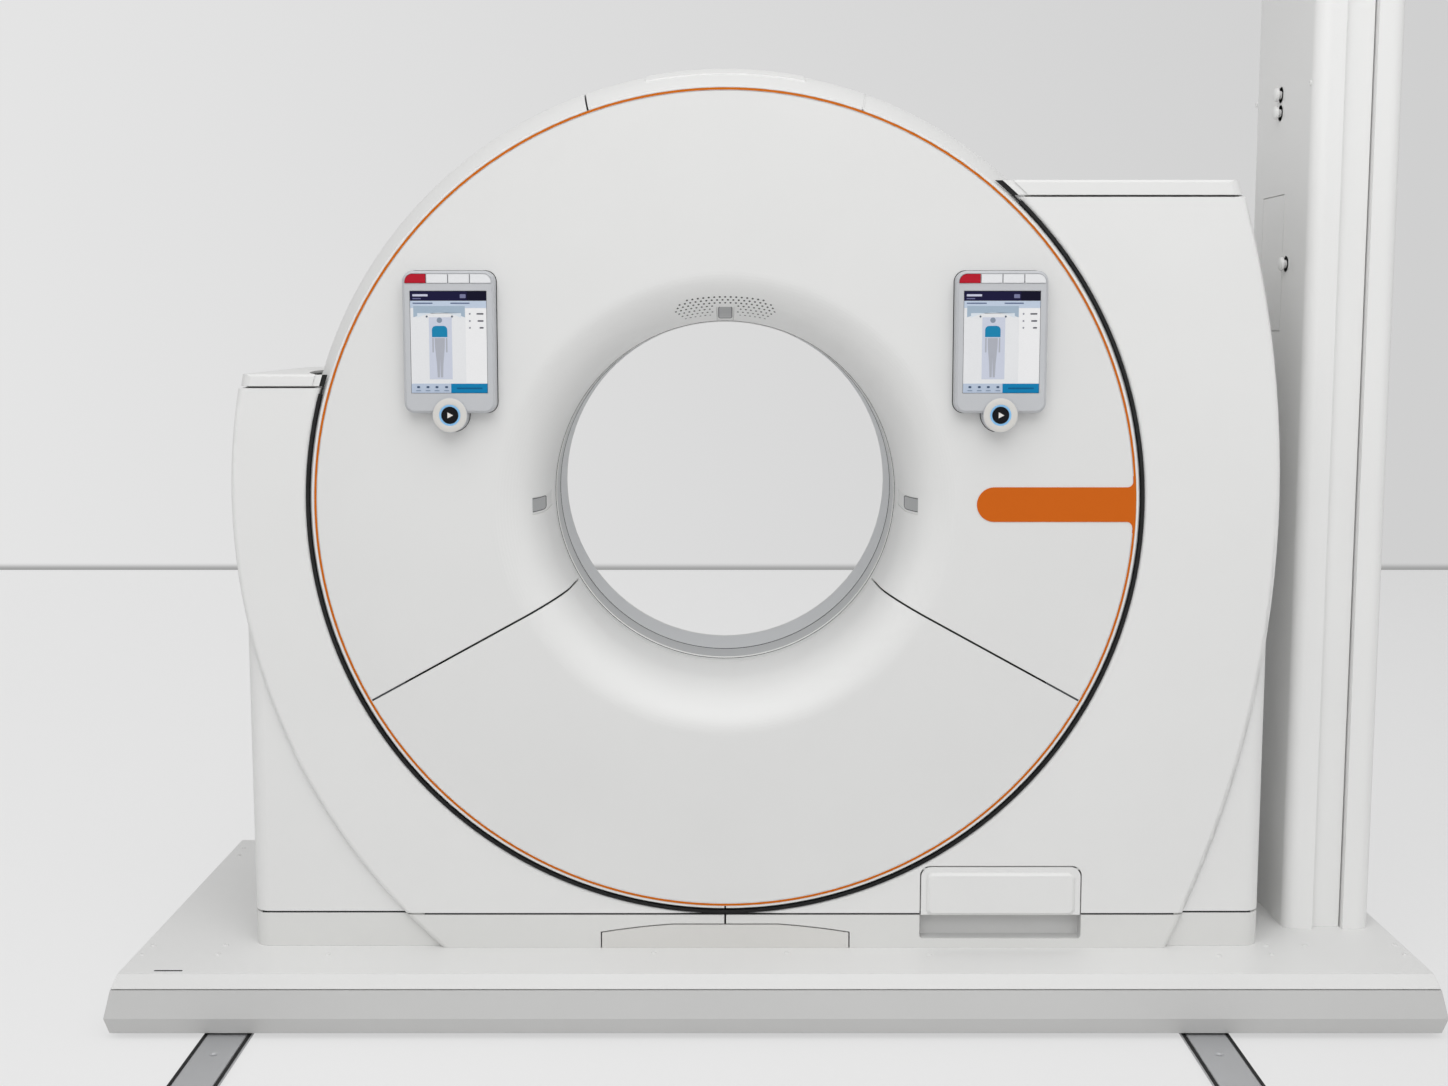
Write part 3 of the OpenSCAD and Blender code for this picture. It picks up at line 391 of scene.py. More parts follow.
def funnel_normal(t, angle):
    """The direction that faces the bore's axis from the funnel, square to its surface."""
    size = bpy.context.scene.scanner_sizes
    dr = -size.funnel_width * np.cos(t)
    dy = size.funnel_depth * np.sin(t)
    length = np.hypot(dr, dy)
    radial, along = -dy / length, dr / length
    return np.stack([radial * np.cos(angle), along, radial * np.sin(angle)], -1)


# PROPERTIES


def distance(name, description, value):
    """A length in metres that a user may set."""
    return bpy.props.FloatProperty(
        name=name, description=description, default=value, min=0.0, unit="LENGTH", precision=4
    )


class ScannerSizes(bpy.types.PropertyGroup):
    """Sizes of the small fittings."""

    bore: distance("Bore radius", "Clear radius of the patient bore", 0.39)
    funnel_width: distance("Funnel width", "How far the funnel opens beyond the bore", 0.1)
    funnel_depth: distance("Funnel depth", "Depth of the funnel", 0.16)
    speaker_hole: distance("Speaker hole", "Radius of a hole in the speaker grille", 0.0023)
    gasket: distance("Panel gasket", "How far the gasket shows round a panel", 0.0015)
    lip: distance("Bore lip", "How far the lips beside the scan window stand out", 0.0024)
    deck_screw: distance("Deck screw", "Radius of a screw head on the deck", 0.006)
    knob: distance("Knob", "Radius of a knob on the column", 0.015)


class ScannerStage(bpy.types.PropertyGroup):
    """The studio round the scanner."""

    lens: bpy.props.FloatProperty(
        name="Lens", description="Focal length of the camera", default=45.74, unit="CAMERA"
    )
    camera_y: distance("Camera distance", "Distance of the camera in front of the tilt axis", 4.1967)
    camera_z: distance("Camera height", "Height of the camera above the bore axis", 0.3824)
    tilt: bpy.props.FloatProperty(
        name="Camera tilt",
        description="How far the camera looks down",
        default=math.radians(6.79),
        subtype="ANGLE",
    )
    wall_y: distance("Wall distance", "Distance of the wall behind the tilt axis", 6.84)
    key_power: bpy.props.FloatProperty(
        name="Key light", description="Power of the large lamp above", default=131.0, unit="POWER"
    )
    fill_power: bpy.props.FloatProperty(
        name="Fill light", description="Power of the lamp beside the camera", default=12.0, unit="POWER"
    )
    sky: bpy.props.FloatProperty(
        name="Room light", description="Strength of the even light of the room", default=0.63
    )


# MATERIALS


def white_cover():
    """Painted ABS covers, moulded and sprayed: an even white with a soft sheen and a faint peel."""
    return finish_surface(
        "sprayed_white_abs", "#E3E3E2", "#E9E9E8", (0.38, 0.46), 0.4, 0.004, 0.00003
    )


def funnel_painted_light(tree, coords, tone):
    """Painted light: brightens the tone inside the funnel, from its mouth inwards."""
    _, _, r, _ = bore_place(tree, coords)
    inside = add_node(
        tree,
        "ShaderNodeMapRange",
        {"From Min": 0.475, "From Max": 0.41, "interpolation_type": "SMOOTHSTEP"},
        {"Value": r},
    ).outputs["Result"]
    return blend(tree, inside, tone, "#ECECEB")


def face_cover():
    """Sprayed ABS of the ring's face, a shade greyer than the covers, with painted light in the funnel."""
    return finish_surface(
        "sprayed_face_abs", "#DEDEDD", "#E4E4E3", (0.38, 0.46), 0.4, 0.004, 0.00003, field=funnel_painted_light
    )


def foot_cover():
    """The same moulded ABS as the covers, a shade greyer: painted shade of the low parts by the deck."""
    return finish_surface("foot_shade_white_abs", "#DBDBD9", "#E1E1DF", (0.42, 0.5), 0.3, 0.004, 0.00004)


def dock_cover():
    """Moulded ABS of the cover at the platform's edge, greyer than the plinths beside it: painted shade low
    by the deck.
    """
    return finish_surface("dock_shade_abs", "#D6D5D2", "#DCDBD8", (0.45, 0.52), 0.3, 0.004, 0.00004)


def pocket_cover():
    """Moulded lining of the pocket behind the flap, matt, its mid grey a painted shade of the hollow."""
    return finish_surface("pocket_shade_abs", "#D0D0CF", "#D7D7D6", (0.5, 0.6), 0.2, 0.004, 0.00004)


def grey_cover():
    """Moulded ABS of the bore, with a fine spark-eroded texture that dulls the light."""
    return finish_surface("moulded_grey_abs", "#DCDEE0", "#E1E3E5", (0.45, 0.52), 0.3, 0.003, 0.00004)


def window_film():
    """Polycarbonate scan window: grey, slightly glossy, drawn smooth from sheet."""
    return finish_surface("polycarbonate_window", "#AEB0B2", "#B4B6B8", (0.28, 0.36), 0.3, 0.01, 0.00002)


def panel_grey():
    """Moulded housing of the control panels: light grey with a fine matt grain."""
    return finish_surface("moulded_panel_abs", "#BCBEC2", "#C3C5C8", (0.36, 0.44), 0.1, 0.0015, 0.00002)


def deck_paint():
    """Powder coat on the deck: pale grey with the pebbled skin of baked powder, in 3 mm pebbles."""
    return finish_surface("powder_coated_deck", "#E2E2E1", "#E8E8E7", (0.4, 0.5), 0.5, 0.003, 0.00006)


def skirt_paint():
    """Powder coat on folded sheet, a little darker than the deck."""
    return finish_surface("powder_coated_skirt", "#C6C6C5", "#CDCDCC", (0.36, 0.46), 0.4, 0.003, 0.00005)


def column_paint():
    """Stove enamel on the column's extruded post, smooth with long faint waves."""
    return finish_surface(
        "enamelled_column", "#E9E9E8", "#EFEFEE", (0.36, 0.44), 0.5, 0.006, 0.00005, None, (1, 1, 8)
    )


def rail_metal():
    """Drawn steel rail: grey, with long drawing marks along the rail and a soft shine."""
    return finish_surface(
        "drawn_steel_rail",
        "#B0B1B3",
        "#BEBFC1",
        (0.4, 0.54),
        0.25,
        0.0015,
        0.00005,
        {"Metallic": 0.35},
        (1, 60, 1),
    )


def frame_steel():
    """Blasted and painted frame steel: dark grey, rough."""
    return finish_surface("painted_frame_steel", "#54575C", "#5E6166", (0.5, 0.62), 0.2, 0.004, 0.0001)


def wheel_steel():
    """Turned steel of wheels and bearing rings, with fine marks across the axle."""
    return finish_surface(
        "turned_steel", "#9A9DA1", "#B0B2B5", (0.25, 0.4), 0.06, 0.001, 0.00003, {"Metallic": 1.0}, (8, 1, 1)
    )


def dark_paint():
    """Black motor enamel with a soft gloss."""
    return finish_surface("black_motor_enamel", "#1E1F21", "#26272A", (0.35, 0.45), 0.1, 0.003, 0.00004)


def tube_metal():
    """Painted housings of the tube and the generator."""
    return finish_surface("painted_tube_housing", "#8C8578", "#979083", (0.4, 0.5), 0.1, 0.003, 0.00005)


def cast_alloy():
    """Sand-cast aluminium drum, left raw: a grainy skin."""
    return finish_surface(
        "cast_aluminium", "#A9ABAE", "#B6B8BA", (0.45, 0.6), 0.12, 0.003, 0.0002, {"Metallic": 1.0}
    )


def black_rubber():
    """Extruded rubber of the seals and stops: black, dull, slightly dusty."""
    return finish_surface("extruded_rubber", "#0D0D0E", "#161617", (0.7, 0.85), 0.05, 0.002, 0.00005)


def accent_field(tree, coords, tone):
    """Keeps the colour to the middle 4.8 mm of the ring and to the tag; the edges stay white."""
    x, z, r, _ = bore_place(tree, coords)
    middle, half_line = RING_OUT - ACCENT_WIDTH / 2, 2.4 * MM
    tag_middle, tag_half, tag_start = 5.5 * MM, 60 * MM, 450 * MM
    line = calc(tree, "COMPARE", r, middle, half_line)
    tag = calc(tree, "COMPARE", z, tag_middle, tag_half)
    tag = calc(tree, "MULTIPLY", tag, calc(tree, "GREATER_THAN", x, tag_start))
    tag = calc(tree, "MULTIPLY", tag, calc(tree, "LESS_THAN", r, middle))
    return blend(tree, tag, blend(tree, line, "#E6E6E5", "#C86600"), tone)


def orange_trim():
    """Orange moulded trim with a clear sheen, sprayed white along the line's two edges."""
    return finish_surface(
        "orange_moulded_trim", "#CB6110", "#CF6414", (0.45, 0.52), 0.2, 0.004, 0.00001,
        {"Specular IOR Level": 0.12}, None, 0.0004, accent_field,
    )


def window_field(tree, coords, tone):
    """Rounds the laser windows' corners by a white mask, with a thin dark line of painted shade inside it
    where the recess would shade.

    The distance to a rectangle with round corners is taken across the window and along its
    run into the bore, measured as the radius seen from 3.85 m in front of the face.
    """
    eye, corner, line = 4.1967, 6 * MM, 2 * MM
    half_width, top_middle, top_half = 15 * MM, 398.5 * MM, 16.25 * MM
    side_middle, side_half, side_drop = 392.9 * MM, 17.8 * MM, 2.4 * MM
    x, z, r, y = bore_place(tree, coords)
    r = calc(tree, "DIVIDE", calc(tree, "MULTIPLY", r, float(eye + FACE_Y)), calc(tree, "ADD", y, eye))
    top = calc(tree, "GREATER_THAN", z, 300 * MM)
    middle = calc(tree, "MULTIPLY_ADD", top, top_middle - side_middle, side_middle)
    half = calc(tree, "MULTIPLY_ADD", top, top_half - side_half, side_half - corner)
    across = calc(tree, "ABSOLUTE", calc(tree, "ADD", z, side_drop))
    across = calc(tree, "MINIMUM", calc(tree, "ABSOLUTE", x), across)
    u = calc(tree, "MAXIMUM", calc(tree, "SUBTRACT", across, half_width - corner), 0.0)
    v = calc(tree, "ABSOLUTE", calc(tree, "SUBTRACT", r, middle))
    v = calc(tree, "MAXIMUM", calc(tree, "SUBTRACT", v, half), 0.0)
    squares = calc(tree, "ADD", calc(tree, "MULTIPLY", u, u), calc(tree, "MULTIPLY", v, v))
    reach = calc(tree, "SQRT", squares)
    # The dark line is painted shade along the window's recessed edge.
    shade_lined = blend(tree, calc(tree, "GREATER_THAN", reach, corner - line), tone, "#505254")
    return blend(tree, calc(tree, "GREATER_THAN", reach, corner), shade_lined, "#E6E6E5")


def window_glass():
    """Frosted acrylic window of a laser lamp, whose matt face evens out the light behind it."""
    return finish_surface(
        "frosted_acrylic", "#A9AAAB", "#B0B1B2", (0.4, 0.5), 0.02, 0.004, 0.00001, None, None, 0.0004,
        window_field,
    )


def screen_glass():
    """Cover glass of the screens over a dark panel."""
    return finish_surface("screen_glass", "#10131C", "#171B26", (0.06, 0.12), 0.05, 0.01, 0.000005)


def red_key():
    """Red moulded key cap."""
    return plain_colour("red_key_cap", "#B80F28", 0.4, {"Specular IOR Level": 0.2})


def white_key():
    """White moulded key cap."""
    return plain_colour("white_key_cap", "#E9EAEC", 0.34)


def blue_key():
    """Black start button under a gloss lens."""
    return plain_colour("black_button_lens", "#0B0E14", 0.3, {"Specular IOR Level": 0.15})


SLOT_FINISHES = {
    "white_cover": white_cover,
    "face_cover": face_cover,
    "foot_cover": foot_cover,
    "dock_cover": dock_cover,
    "pocket_cover": pocket_cover,
    "grey_cover": grey_cover,
    "panel_grey": panel_grey,
    "deck_paint": deck_paint,
    "skirt_paint": skirt_paint,
    "column_paint": column_paint,
    "frame_steel": frame_steel,
    "dark_paint": dark_paint,
    "rail_metal": rail_metal,
    "wheel_steel": wheel_steel,
    "cast_alloy": cast_alloy,
    "tube_metal": tube_metal,
    "black_rubber": black_rubber,
    "orange_trim": orange_trim,
    "window_film": window_film,
    "window_glass": window_glass,
    "screen_glass": screen_glass,
    "red_key": red_key,
    "white_key": white_key,
    "blue_key": blue_key,
}
# Nodes with a finish of their own: the plinths, the dock and the pocket carry painted shade, and the face
# carries painted light in its funnel.
OWN_FINISH = {
    "face_cover_upper": "face_cover",
    "face_cover_lower": "face_cover",
    "plinth_left": "foot_cover",
    "plinth_right": "foot_cover",
    "dock_cover": "dock_cover",
    "service_pocket": "pocket_cover",
}
FINISHES = {}


def finish_of(slot):
    """The material of a slot, made once."""
    if slot not in FINISHES:
        FINISHES[slot] = SLOT_FINISHES[slot]()
    return FINISHES[slot]


# OPERATORS


class SCANNER_OT_finishes(bpy.types.Operator):
    """Gives every node of the solid model the finish of its slot."""

    bl_idname = "scanner.finishes"
    bl_label = "Finishes"

    def execute(self, context):
        for part in frame["record"]["subparts"]:
            obj = NODES[part["node"]]
            slot = OWN_FINISH.get(part["node"], part["material_slot"])
            obj.data.materials.clear()
            obj.data.materials.append(finish_of(slot))
        return {"FINISHED"}


def box_outline(x0, x1, z0, z1, radius=0.2):
    """A field of the picture from x0 to x1 and z0 to z1, in millimetres from the screen's middle."""
    return rounded_outline(x1 - x0, z1 - z0, radius, 4) + [(x0 + x1) / 2, (z0 + z1) / 2]


def disc_outline(x, z, radius):
    """A round field: radius times the cosine and the sine of the angle."""
    a = np.linspace(0, 2 * math.pi, 24, endpoint=False)
    return np.stack([x + radius * np.cos(a), z + radius * np.sin(a)], -1)


def arch_outline(x0, x1, top, foot, crown):
    """A band with a straight top, whose lower edge rises as a parabola from foot to crown."""
    x = np.linspace(x1, x0, 15)
    u = (2 * x - x0 - x1) / (x1 - x0)
    lower = np.stack([x, crown - (crown - foot) * u**2], -1)
    return np.concatenate([[[x0, top], [x1, top]], lower])[::-1]


def screen_fields():
    """The picture's fields, back to front, as (colour, outline), in millimetres."""
    rows = [(58.0, 14), (43.5, 12), (29.5, 8)]
    fields = [
        ("#E9EAEC", box_outline(-78.3, 78.3, -104, 104, 1)),
        ("#17143B", box_outline(-78.3, 78.3, 84.6, 104, 1)),
        ("#0B0925", box_outline(38.5, 78.3, 84.6, 104, 1)),
        ("#C3D0E2", box_outline(-78.3, 78.3, 70, 84.4)),
        ("#A6B8C9", arch_outline(-72, 34, 74, 51, 60)),
        ("#DDE5ED", arch_outline(-64, 26, 59.5, 50, 60.5)),
        ("#CED3E2", box_outline(-40.4, 6.7, -76, 51)),
        ("#F1F1F2", box_outline(35, 78.3, -83.6, 69)),
        ("#BCC9DC", box_outline(-78.3, 3.2, -104, -85)),
        ("#0B80B4", box_outline(3.2, 78.3, -104, -85)),
        ("#8C98A8", disc_outline(-18.7, 45, 5.6)),
        ("#1A86B2", box_outline(-34.5, -2.6, 10.5, 33.5, 8)),
        ("#1A86B2", box_outline(-34.5, -2.6, 10.5, 22, 1)),
        ("#B1B4BE", np.array([[-29, 8.5], [-8, 8.5], [-8.6, -10], [-12, -46], [-13, -72],
            [-17.5, -72], [-18.5, -30], [-19.5, -72], [-24, -72], [-25, -46], [-28.4, -10]])[::-1]),
        ("#B1B4BE", box_outline(-34, -31, -21, 9, 1.4)),
        ("#B1B4BE", box_outline(-6, -3, -21, 9, 1.4)),
        ("#C9CBE0", box_outline(-73.3, -42, 93.6, 98, 1)),
        ("#6E6F96", box_outline(-73.3, -56, 88, 90.2, 0.8)),
        ("#7A7CA0", box_outline(24, 36, 90, 98, 1.5)),
        ("#5A6A8C", box_outline(-73, -32, 78.6, 80.8, 0.8)),
        ("#5A6A8C", box_outline(4.4, 44, 78.6, 80.8, 0.8)),
        ("#0A5F8C", box_outline(15, 68, -96, -93, 1)),
        ("#5C6673", disc_outline(-44.6, 52.5, 2)),
        ("#5C6673", disc_outline(7.4, 52.5, 2)),
    ]
    fields += [("#4C4C58", box_outline(72 - w, 72, z - 1.4, z + 1.4, 0.8)) for z, w in rows]
    fields += [("#8A8C96", disc_outline(44, z, 1.8)) for z, w in rows]
    fields += [("#3F5470", box_outline(x - 3, x + 3, -94, -90, 1.5)) for x in (-64, -44.6, -26, -6.2)]
    fields += [("#7D8EA6", box_outline(x - 5, x + 5, -100, -98.6, 0.6)) for x in (-64, -44.6, -26, -6.2)]
    return fields


class SCANNER_OT_panels(bpy.types.Operator):
    """Makes the screens' picture, the panels' gaskets with their painted contact shade, and the start
    buttons' lamps.
    """

    bl_idname = "scanner.panels"
    bl_label = "Panels"

    def execute(self, context):
        palette = {}
        fields = screen_fields()
        middle = (SCREEN_LOW[2] + SCREEN_HIGH[2]) / 2
        back = SCREEN_LOW[1]
        for side in ("left", "right"):
            low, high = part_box(f"panel_{side}")
            x = (low[0] + high[0]) / 2
            points, faces, index, materials = [], [], [], []
            for n, (code, outline) in enumerate(fields):
                if code not in palette:
                    palette[code] = plain_colour(
                        f"screen_field_{code[1:].lower()}", code, 0.3, {"Specular IOR Level": 0.12}
                    )
                if palette[code] not in materials:
                    materials.append(palette[code])
                front = back - (0.1 + 0.025 * n) * MM
                p, f = plate(outline * MM, (x, middle), front, back + 0.3 * MM)
                faces += [[i + len(points) for i in face] for face in f]
                points += p.tolist()
                index += [materials.index(palette[code])] * len(f)
            obj = mesh_object(f"screen_picture_{side}", points, faces, materials, smooth=False)
            obj.data.polygons.foreach_set("material_index", np.array(index, dtype=np.int32))
            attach(obj, "ring")
            self.gasket(context, side, x, high[2])
            self.start_lamp(context, side)
        return {"FINISHED"}

    @staticmethod
    def gasket(context, side, x, top):
        """The rubber that shows round a panel's body and round its lobe, flat on the face; its black line
        also paints the contact shade round the panel.
        """
        grow = context.scene.scanner_sizes.gasket
        body = rounded_outline(PANEL_WIDTH + 2 * grow, PANEL_HEIGHT + 2 * grow, PANEL_CORNER + grow)
        lobe = disc_outline(0, -PANEL_HEIGHT / 2 - LOBE_DROP, LOBE_RADIUS + grow)
        place = (x, top - PANEL_HEIGHT / 2)
        for name, outline in (("body", body), ("lobe", lobe)):
            p, f = plate(outline, place, FACE_Y - 0.7 * MM, FACE_Y + 0.2 * MM)
            obj = mesh_object(
                f"panel_gasket_shade_{name}_{side}", p, f, finish_of("black_rubber"), smooth=False
            )
            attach(obj, "ring")

    @staticmethod
    def start_lamp(context, side):
        """A pale collar and a blue lamp ring round the start button, and a triangle on it."""
        low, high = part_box(f"{side}_start_button")
        x, z = (low[0] + high[0]) / 2, (low[2] + high[2]) / 2
        r = (high[0] - low[0]) / 2
        place = [(x, PANEL_FRONT, z)]
        fitting(
            f"start_collar_{side}",
            [(r + 5 * MM, 0.9 * MM), (r + 6 * MM, 1.2 * MM), (r + 16 * MM, 1.0 * MM),
             (r + 18 * MM, 0.2 * MM), (r + 18 * MM, -0.2 * MM), (r + 5 * MM, -0.2 * MM),
             (r + 5 * MM, 0.9 * MM)],
            place, (0, -1, 0), plain_colour(f"collar_abs_{side}", "#D9D7D3", 0.35), "ring",
            segments=64,
        )
        fitting(
            f"start_lamp_{side}",
            [(r + 0.8 * MM, 0.5 * MM), (r + 2 * MM, 0.9 * MM), (r + 4.8 * MM, 0.9 * MM),
             (r + 4.8 * MM, -0.2 * MM), (r + 0.8 * MM, -0.2 * MM), (r + 0.8 * MM, 0.5 * MM)],
            place, (0, -1, 0),
            plain_colour(f"lamp_ring_{side}", "#7DB4DE", 0.3,
                {"Emission Color": linear("#7DB4DE"), "Emission Strength": 0.25}),
            "ring", segments=64,
        )
        mark = np.array([[-4.5, -6.2], [7.2, 0], [-4.5, 6.2]]) * MM
        p, f = plate(mark, (x, z), low[1] - 0.3 * MM, low[1] + 0.2 * MM)
        obj = mesh_object(
            f"start_mark_{side}", p, f, plain_colour(f"mark_print_{side}", "#E6E4E0", 0.3), smooth=False
        )
        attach(obj, f"{side}_start_button_body")


class SCANNER_OT_speaker(bpy.types.Operator):
    """Makes the speaker grille above the bore from rows of round holes."""

    bl_idname = "scanner.speaker"
    bl_label = "Speaker"

    def execute(self, context):
        size = context.scene.scanner_sizes
        radius = np.linspace(0.4385, 0.4025, 7)
        rows = np.arcsin((size.bore + size.funnel_width - radius) / size.funnel_width)
        halves = np.radians([11.5, 13.8, 14.8, 15.2, 15.0, 14.2, 12.4])
        places, directions = [], []
        for k, (t, half) in enumerate(zip(rows, halves, strict=True)):
            turn = np.radians(1.5) * (np.arange(-12, 13) + 0.5 * (k % 2))
            turn = turn[np.abs(turn) <= half]
            if k > 2:
                turn = turn[np.abs(turn) > math.radians(3.2)]
            angle = math.pi / 2 + turn
            places.append(funnel_point(np.full(len(angle), t), angle))
            directions.append(funnel_normal(np.full(len(angle), t), angle))
        r = size.speaker_hole
        fitting(
            "speaker_holes",
            [(0, 0.0002), (r, 0.00015), (r, -0.001), (0, -0.001)],
            np.concatenate(places),
            np.concatenate(directions),
            plain_colour("grille_shadow", "#1A1B1D", 0.8),
            "ring",
            segments=8,
        )
        return {"FINISHED"}


class SCANNER_OT_lips(bpy.types.Operator):
    """Makes the thin lips that stand out of the bore's wall beside the scan window."""

    bl_idname = "scanner.lips"
    bl_label = "Bore lips"

    def execute(self, context):
        size = context.scene.scanner_sizes
        self.lip(size, "seal_front", TRIM_REAR - 13 * MM, 0.3 * size.lip, "black_rubber")
        # The front bead takes the column's lighter paint as a painted highlight along its edge.
        self.lip(size, "bead_front", TRIM_REAR - 3 * MM, size.lip, "column_paint")
        self.lip(size, "seal_rear", LINER_LOW[1], 0.3 * size.lip, "black_rubber")
        return {"FINISHED"}

    @staticmethod
    def lip(size, name, depth, height, slot):
        """A ring of trapezoid section, 4 mm wide at the wall, turned about the bore's axis."""
        wall, crest = size.bore + 0.5 * MM, size.bore - height
        section = [(wall, -2 * MM), (crest, -1 * MM), (crest, 1 * MM), (wall, 2 * MM), (wall, -2 * MM)]
        fitting(
            name, section, [(BORE_X, depth, BORE_Z)], (0, 1, 0), finish_of(slot), "ring",
            segments=180,
        )


class SCANNER_OT_seals(bpy.types.Operator):
    """Makes the black lines of the stand and the rails, the caps' inner ends and the vent's seal."""

    bl_idname = "scanner.seals"
    bl_label = "Seals"

    def execute(self, context):
        self.vent_seal()
        self.rim_lip_shade()
        front, side = STAND_FRONT + 2 * MM, STAND_FRONT + 17 * MM
        runs = [(-650, 420, front), (770, 970, front), (-1005, -650, side), (970, 1140, side)]
        for n, (start, stop, depth) in enumerate(runs, 1):
            self.seam_line(f"plinth_seam_{n}", start * MM, stop * MM, depth)
        for rail in ("rail_left", "rail_right"):
            self.rail_edges(rail)
        for side, foot, height in (("left", 251 * MM, 27 * MM), ("right", 645 * MM, 33 * MM)):
            low, high = foot + 2 * MM, foot + height - 1 * MM
            # Black rubber at the caps' inner ends, which also paints the dark gap between each cap and the
            # rim.
            self.cap_end(f"cap_seal_foot_{side}", foot - 16 * MM, low, (877, 880.3), "black_rubber")
            self.cap_end(f"cap_seal_{side}", low, high, (877, 886.5), "black_rubber")
            self.cap_end(f"cap_lip_{side}", low, high, (886, 901), "white_cover")
        return {"FINISHED"}

    @staticmethod
    def vent_seal():
        """A strip that fills the right seam of the top cover, level with the ball of the rim.

        Its middle lies 71 degrees above the horizontal, at a radius of the root of the ball's
        radius squared less the depth squared, less half a millimetre.
        """
        half_depth, half_width = 346 * MM, 2.05 * MM
        depth = np.linspace(-half_depth, half_depth, 80)
        radius = np.sqrt(BALL_RADIUS**2 - depth**2)
        angle = math.radians(71)
        out = np.array([math.cos(angle), 0, math.sin(angle)])
        across = np.array([-math.sin(angle), 0, math.cos(angle)])
        rows = []
        for side, rise in ((-1, -0.5), (1, -0.5), (1, -4), (-1, -4)):
            row = (radius + rise * MM)[:, None] * out + side * half_width * across
            row[:, 1] += depth
            rows.append(row + [BORE_X, 0, BORE_Z])
        strip("vent_seal_right", rows, "white_cover", "ring")

    @staticmethod
    def rim_lip_shade():
        """A flat black rubber lip on the stand's edge round the ring, from the left cap under it to the
        right one; its black also paints the shade of the edge that faces into the gap.

        Its two edges are arcs: a radius times the cosine and the sine of the angle.
        """
        left_cap, right_cap = 164.4, 406.1
        inner, outer = 876 * MM, 883 * MM
        angle = np.radians(np.linspace(left_cap, right_cap, 200))
        turn = np.stack([np.cos(angle), np.sin(angle)], -1)
        rows = band(inner * turn, outer * turn, STAND_FRONT - 0.6 * MM, STAND_FRONT + 1.5 * MM)
        strip("rim_lip_shade", rows, "black_rubber", "carriage")

    @staticmethod
    def seam_line(name, start, stop, front):
        """A black strip inside the seam between a tower's shell and its plinth."""
        seam, half = PLINTH_SEAM - BORE_Z, 1.8 * MM
        low, high = (np.array([[start, z], [stop, z]]) for z in (seam - half, seam + half))
        strip(name, band(low, high, front, front + 8 * MM), "black_rubber", "carriage")

    @staticmethod
    def rail_edges(rail):
        """A black strip 7 mm wide along each long edge of a rail, level with its top."""
        low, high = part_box(rail)
        width, stop = 7 * MM, 80 * MM
        foot, top = high[2] - 1 * MM, high[2] + 0.4 * MM
        for side, x in (("left", low[0]), ("right", high[0] - width)):
            corners = ((x, foot), (x + width, foot), (x + width, top), (x, top))
            rows = [np.array([[u, low[1] + stop, v], [u, high[1] - stop, v]]) for u, v in corners]
            strip(f"{rail}_edge_{side}", rows, "black_rubber", "track")

    @staticmethod
    def cap_end(name, low, high, radii, slot):
        """A plate at the inner end of a tower's cap, between two circles about the bore's axis.

        At each height its edges lie at the root of a circle's radius squared less the height squared.
        """
        z = np.linspace(low, high, 6)
        side = -1 if name.endswith("left") else 1
        curves = [np.stack([side * np.sqrt((r * MM) ** 2 - z**2), z], -1) for r in radii]
        strip(name, band(*curves, STAND_FRONT + 2 * MM, STAND_FRONT + 7 * MM), slot, "carriage")


class SCANNER_OT_screws(bpy.types.Operator):
    """Makes the screws and the slot of the deck, and the screws and knobs of the column."""

    bl_idname = "scanner.screws"
    bl_label = "Screws and knobs"

    def execute(self, context):
        size = context.scene.scanner_sizes
        r = size.deck_screw
        deck = [
            (-1251, -383), (-1245, -325), (-1089, -380), (-1088, -322), (-1244, 424), (-1238, 361),
            (-853, -380), (-154, -368), (132, -368), (438, -381), (1057, -388), (1176, -324),
            (1172, -382), (1261, -324), (1458, -382), (1458, -321),
        ]
        places = [(BORE_X + x * MM, y * MM, DECK_TOP) for x, y in deck]
        head = [
            (0, 0.0006), (0.35 * r, 0.0006), (0.45 * r, 0.0022), (0.8 * r, 0.002), (r, 0.001),
            (r, -0.001), (0, -0.001),
        ]
        fitting("deck_screws", head, places, (0, 0, 1), finish_of("deck_paint"), "carriage")
        slot = rounded_outline(60 * MM, 6 * MM, 2.9 * MM, 5)
        place = (BORE_X - 1165 * MM, -481.5 * MM)
        points, faces = plate(slot, place, DECK_TOP + 0.3 * MM, DECK_TOP - 0.5 * MM)
        obj = mesh_object("deck_slot", points[:, [0, 2, 1]], faces, finish_of("black_rubber"), smooth=False)
        clean(obj)
        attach(obj, "carriage")
        k = size.knob
        knob = [
            (0, 0.016), (0.7 * k, 0.016), (k, 0.013), (k, 0.007), (0.6 * k, 0.005), (0.6 * k, 0.0),
            (1.2 * k, 0.0), (1.2 * k, -0.001), (0, -0.001),
        ]
        places = [
            (COLUMN_SIDE, y * MM, BORE_Z + z * MM) for y, z in [(-53, 515), (27, 893), (27, 853)]
        ]
        paint = finish_of("column_paint")
        fitting("column_knobs", knob, places, (-1, 0, 0), paint, "carriage")
        places = [(COLUMN_SIDE, y * MM, BORE_Z + z * MM) for y, z in [(-184, 893), (217, 893)]]
        fitting("column_screws", head, places, (-1, 0, 0), paint, "carriage")
        return {"FINISHED"}


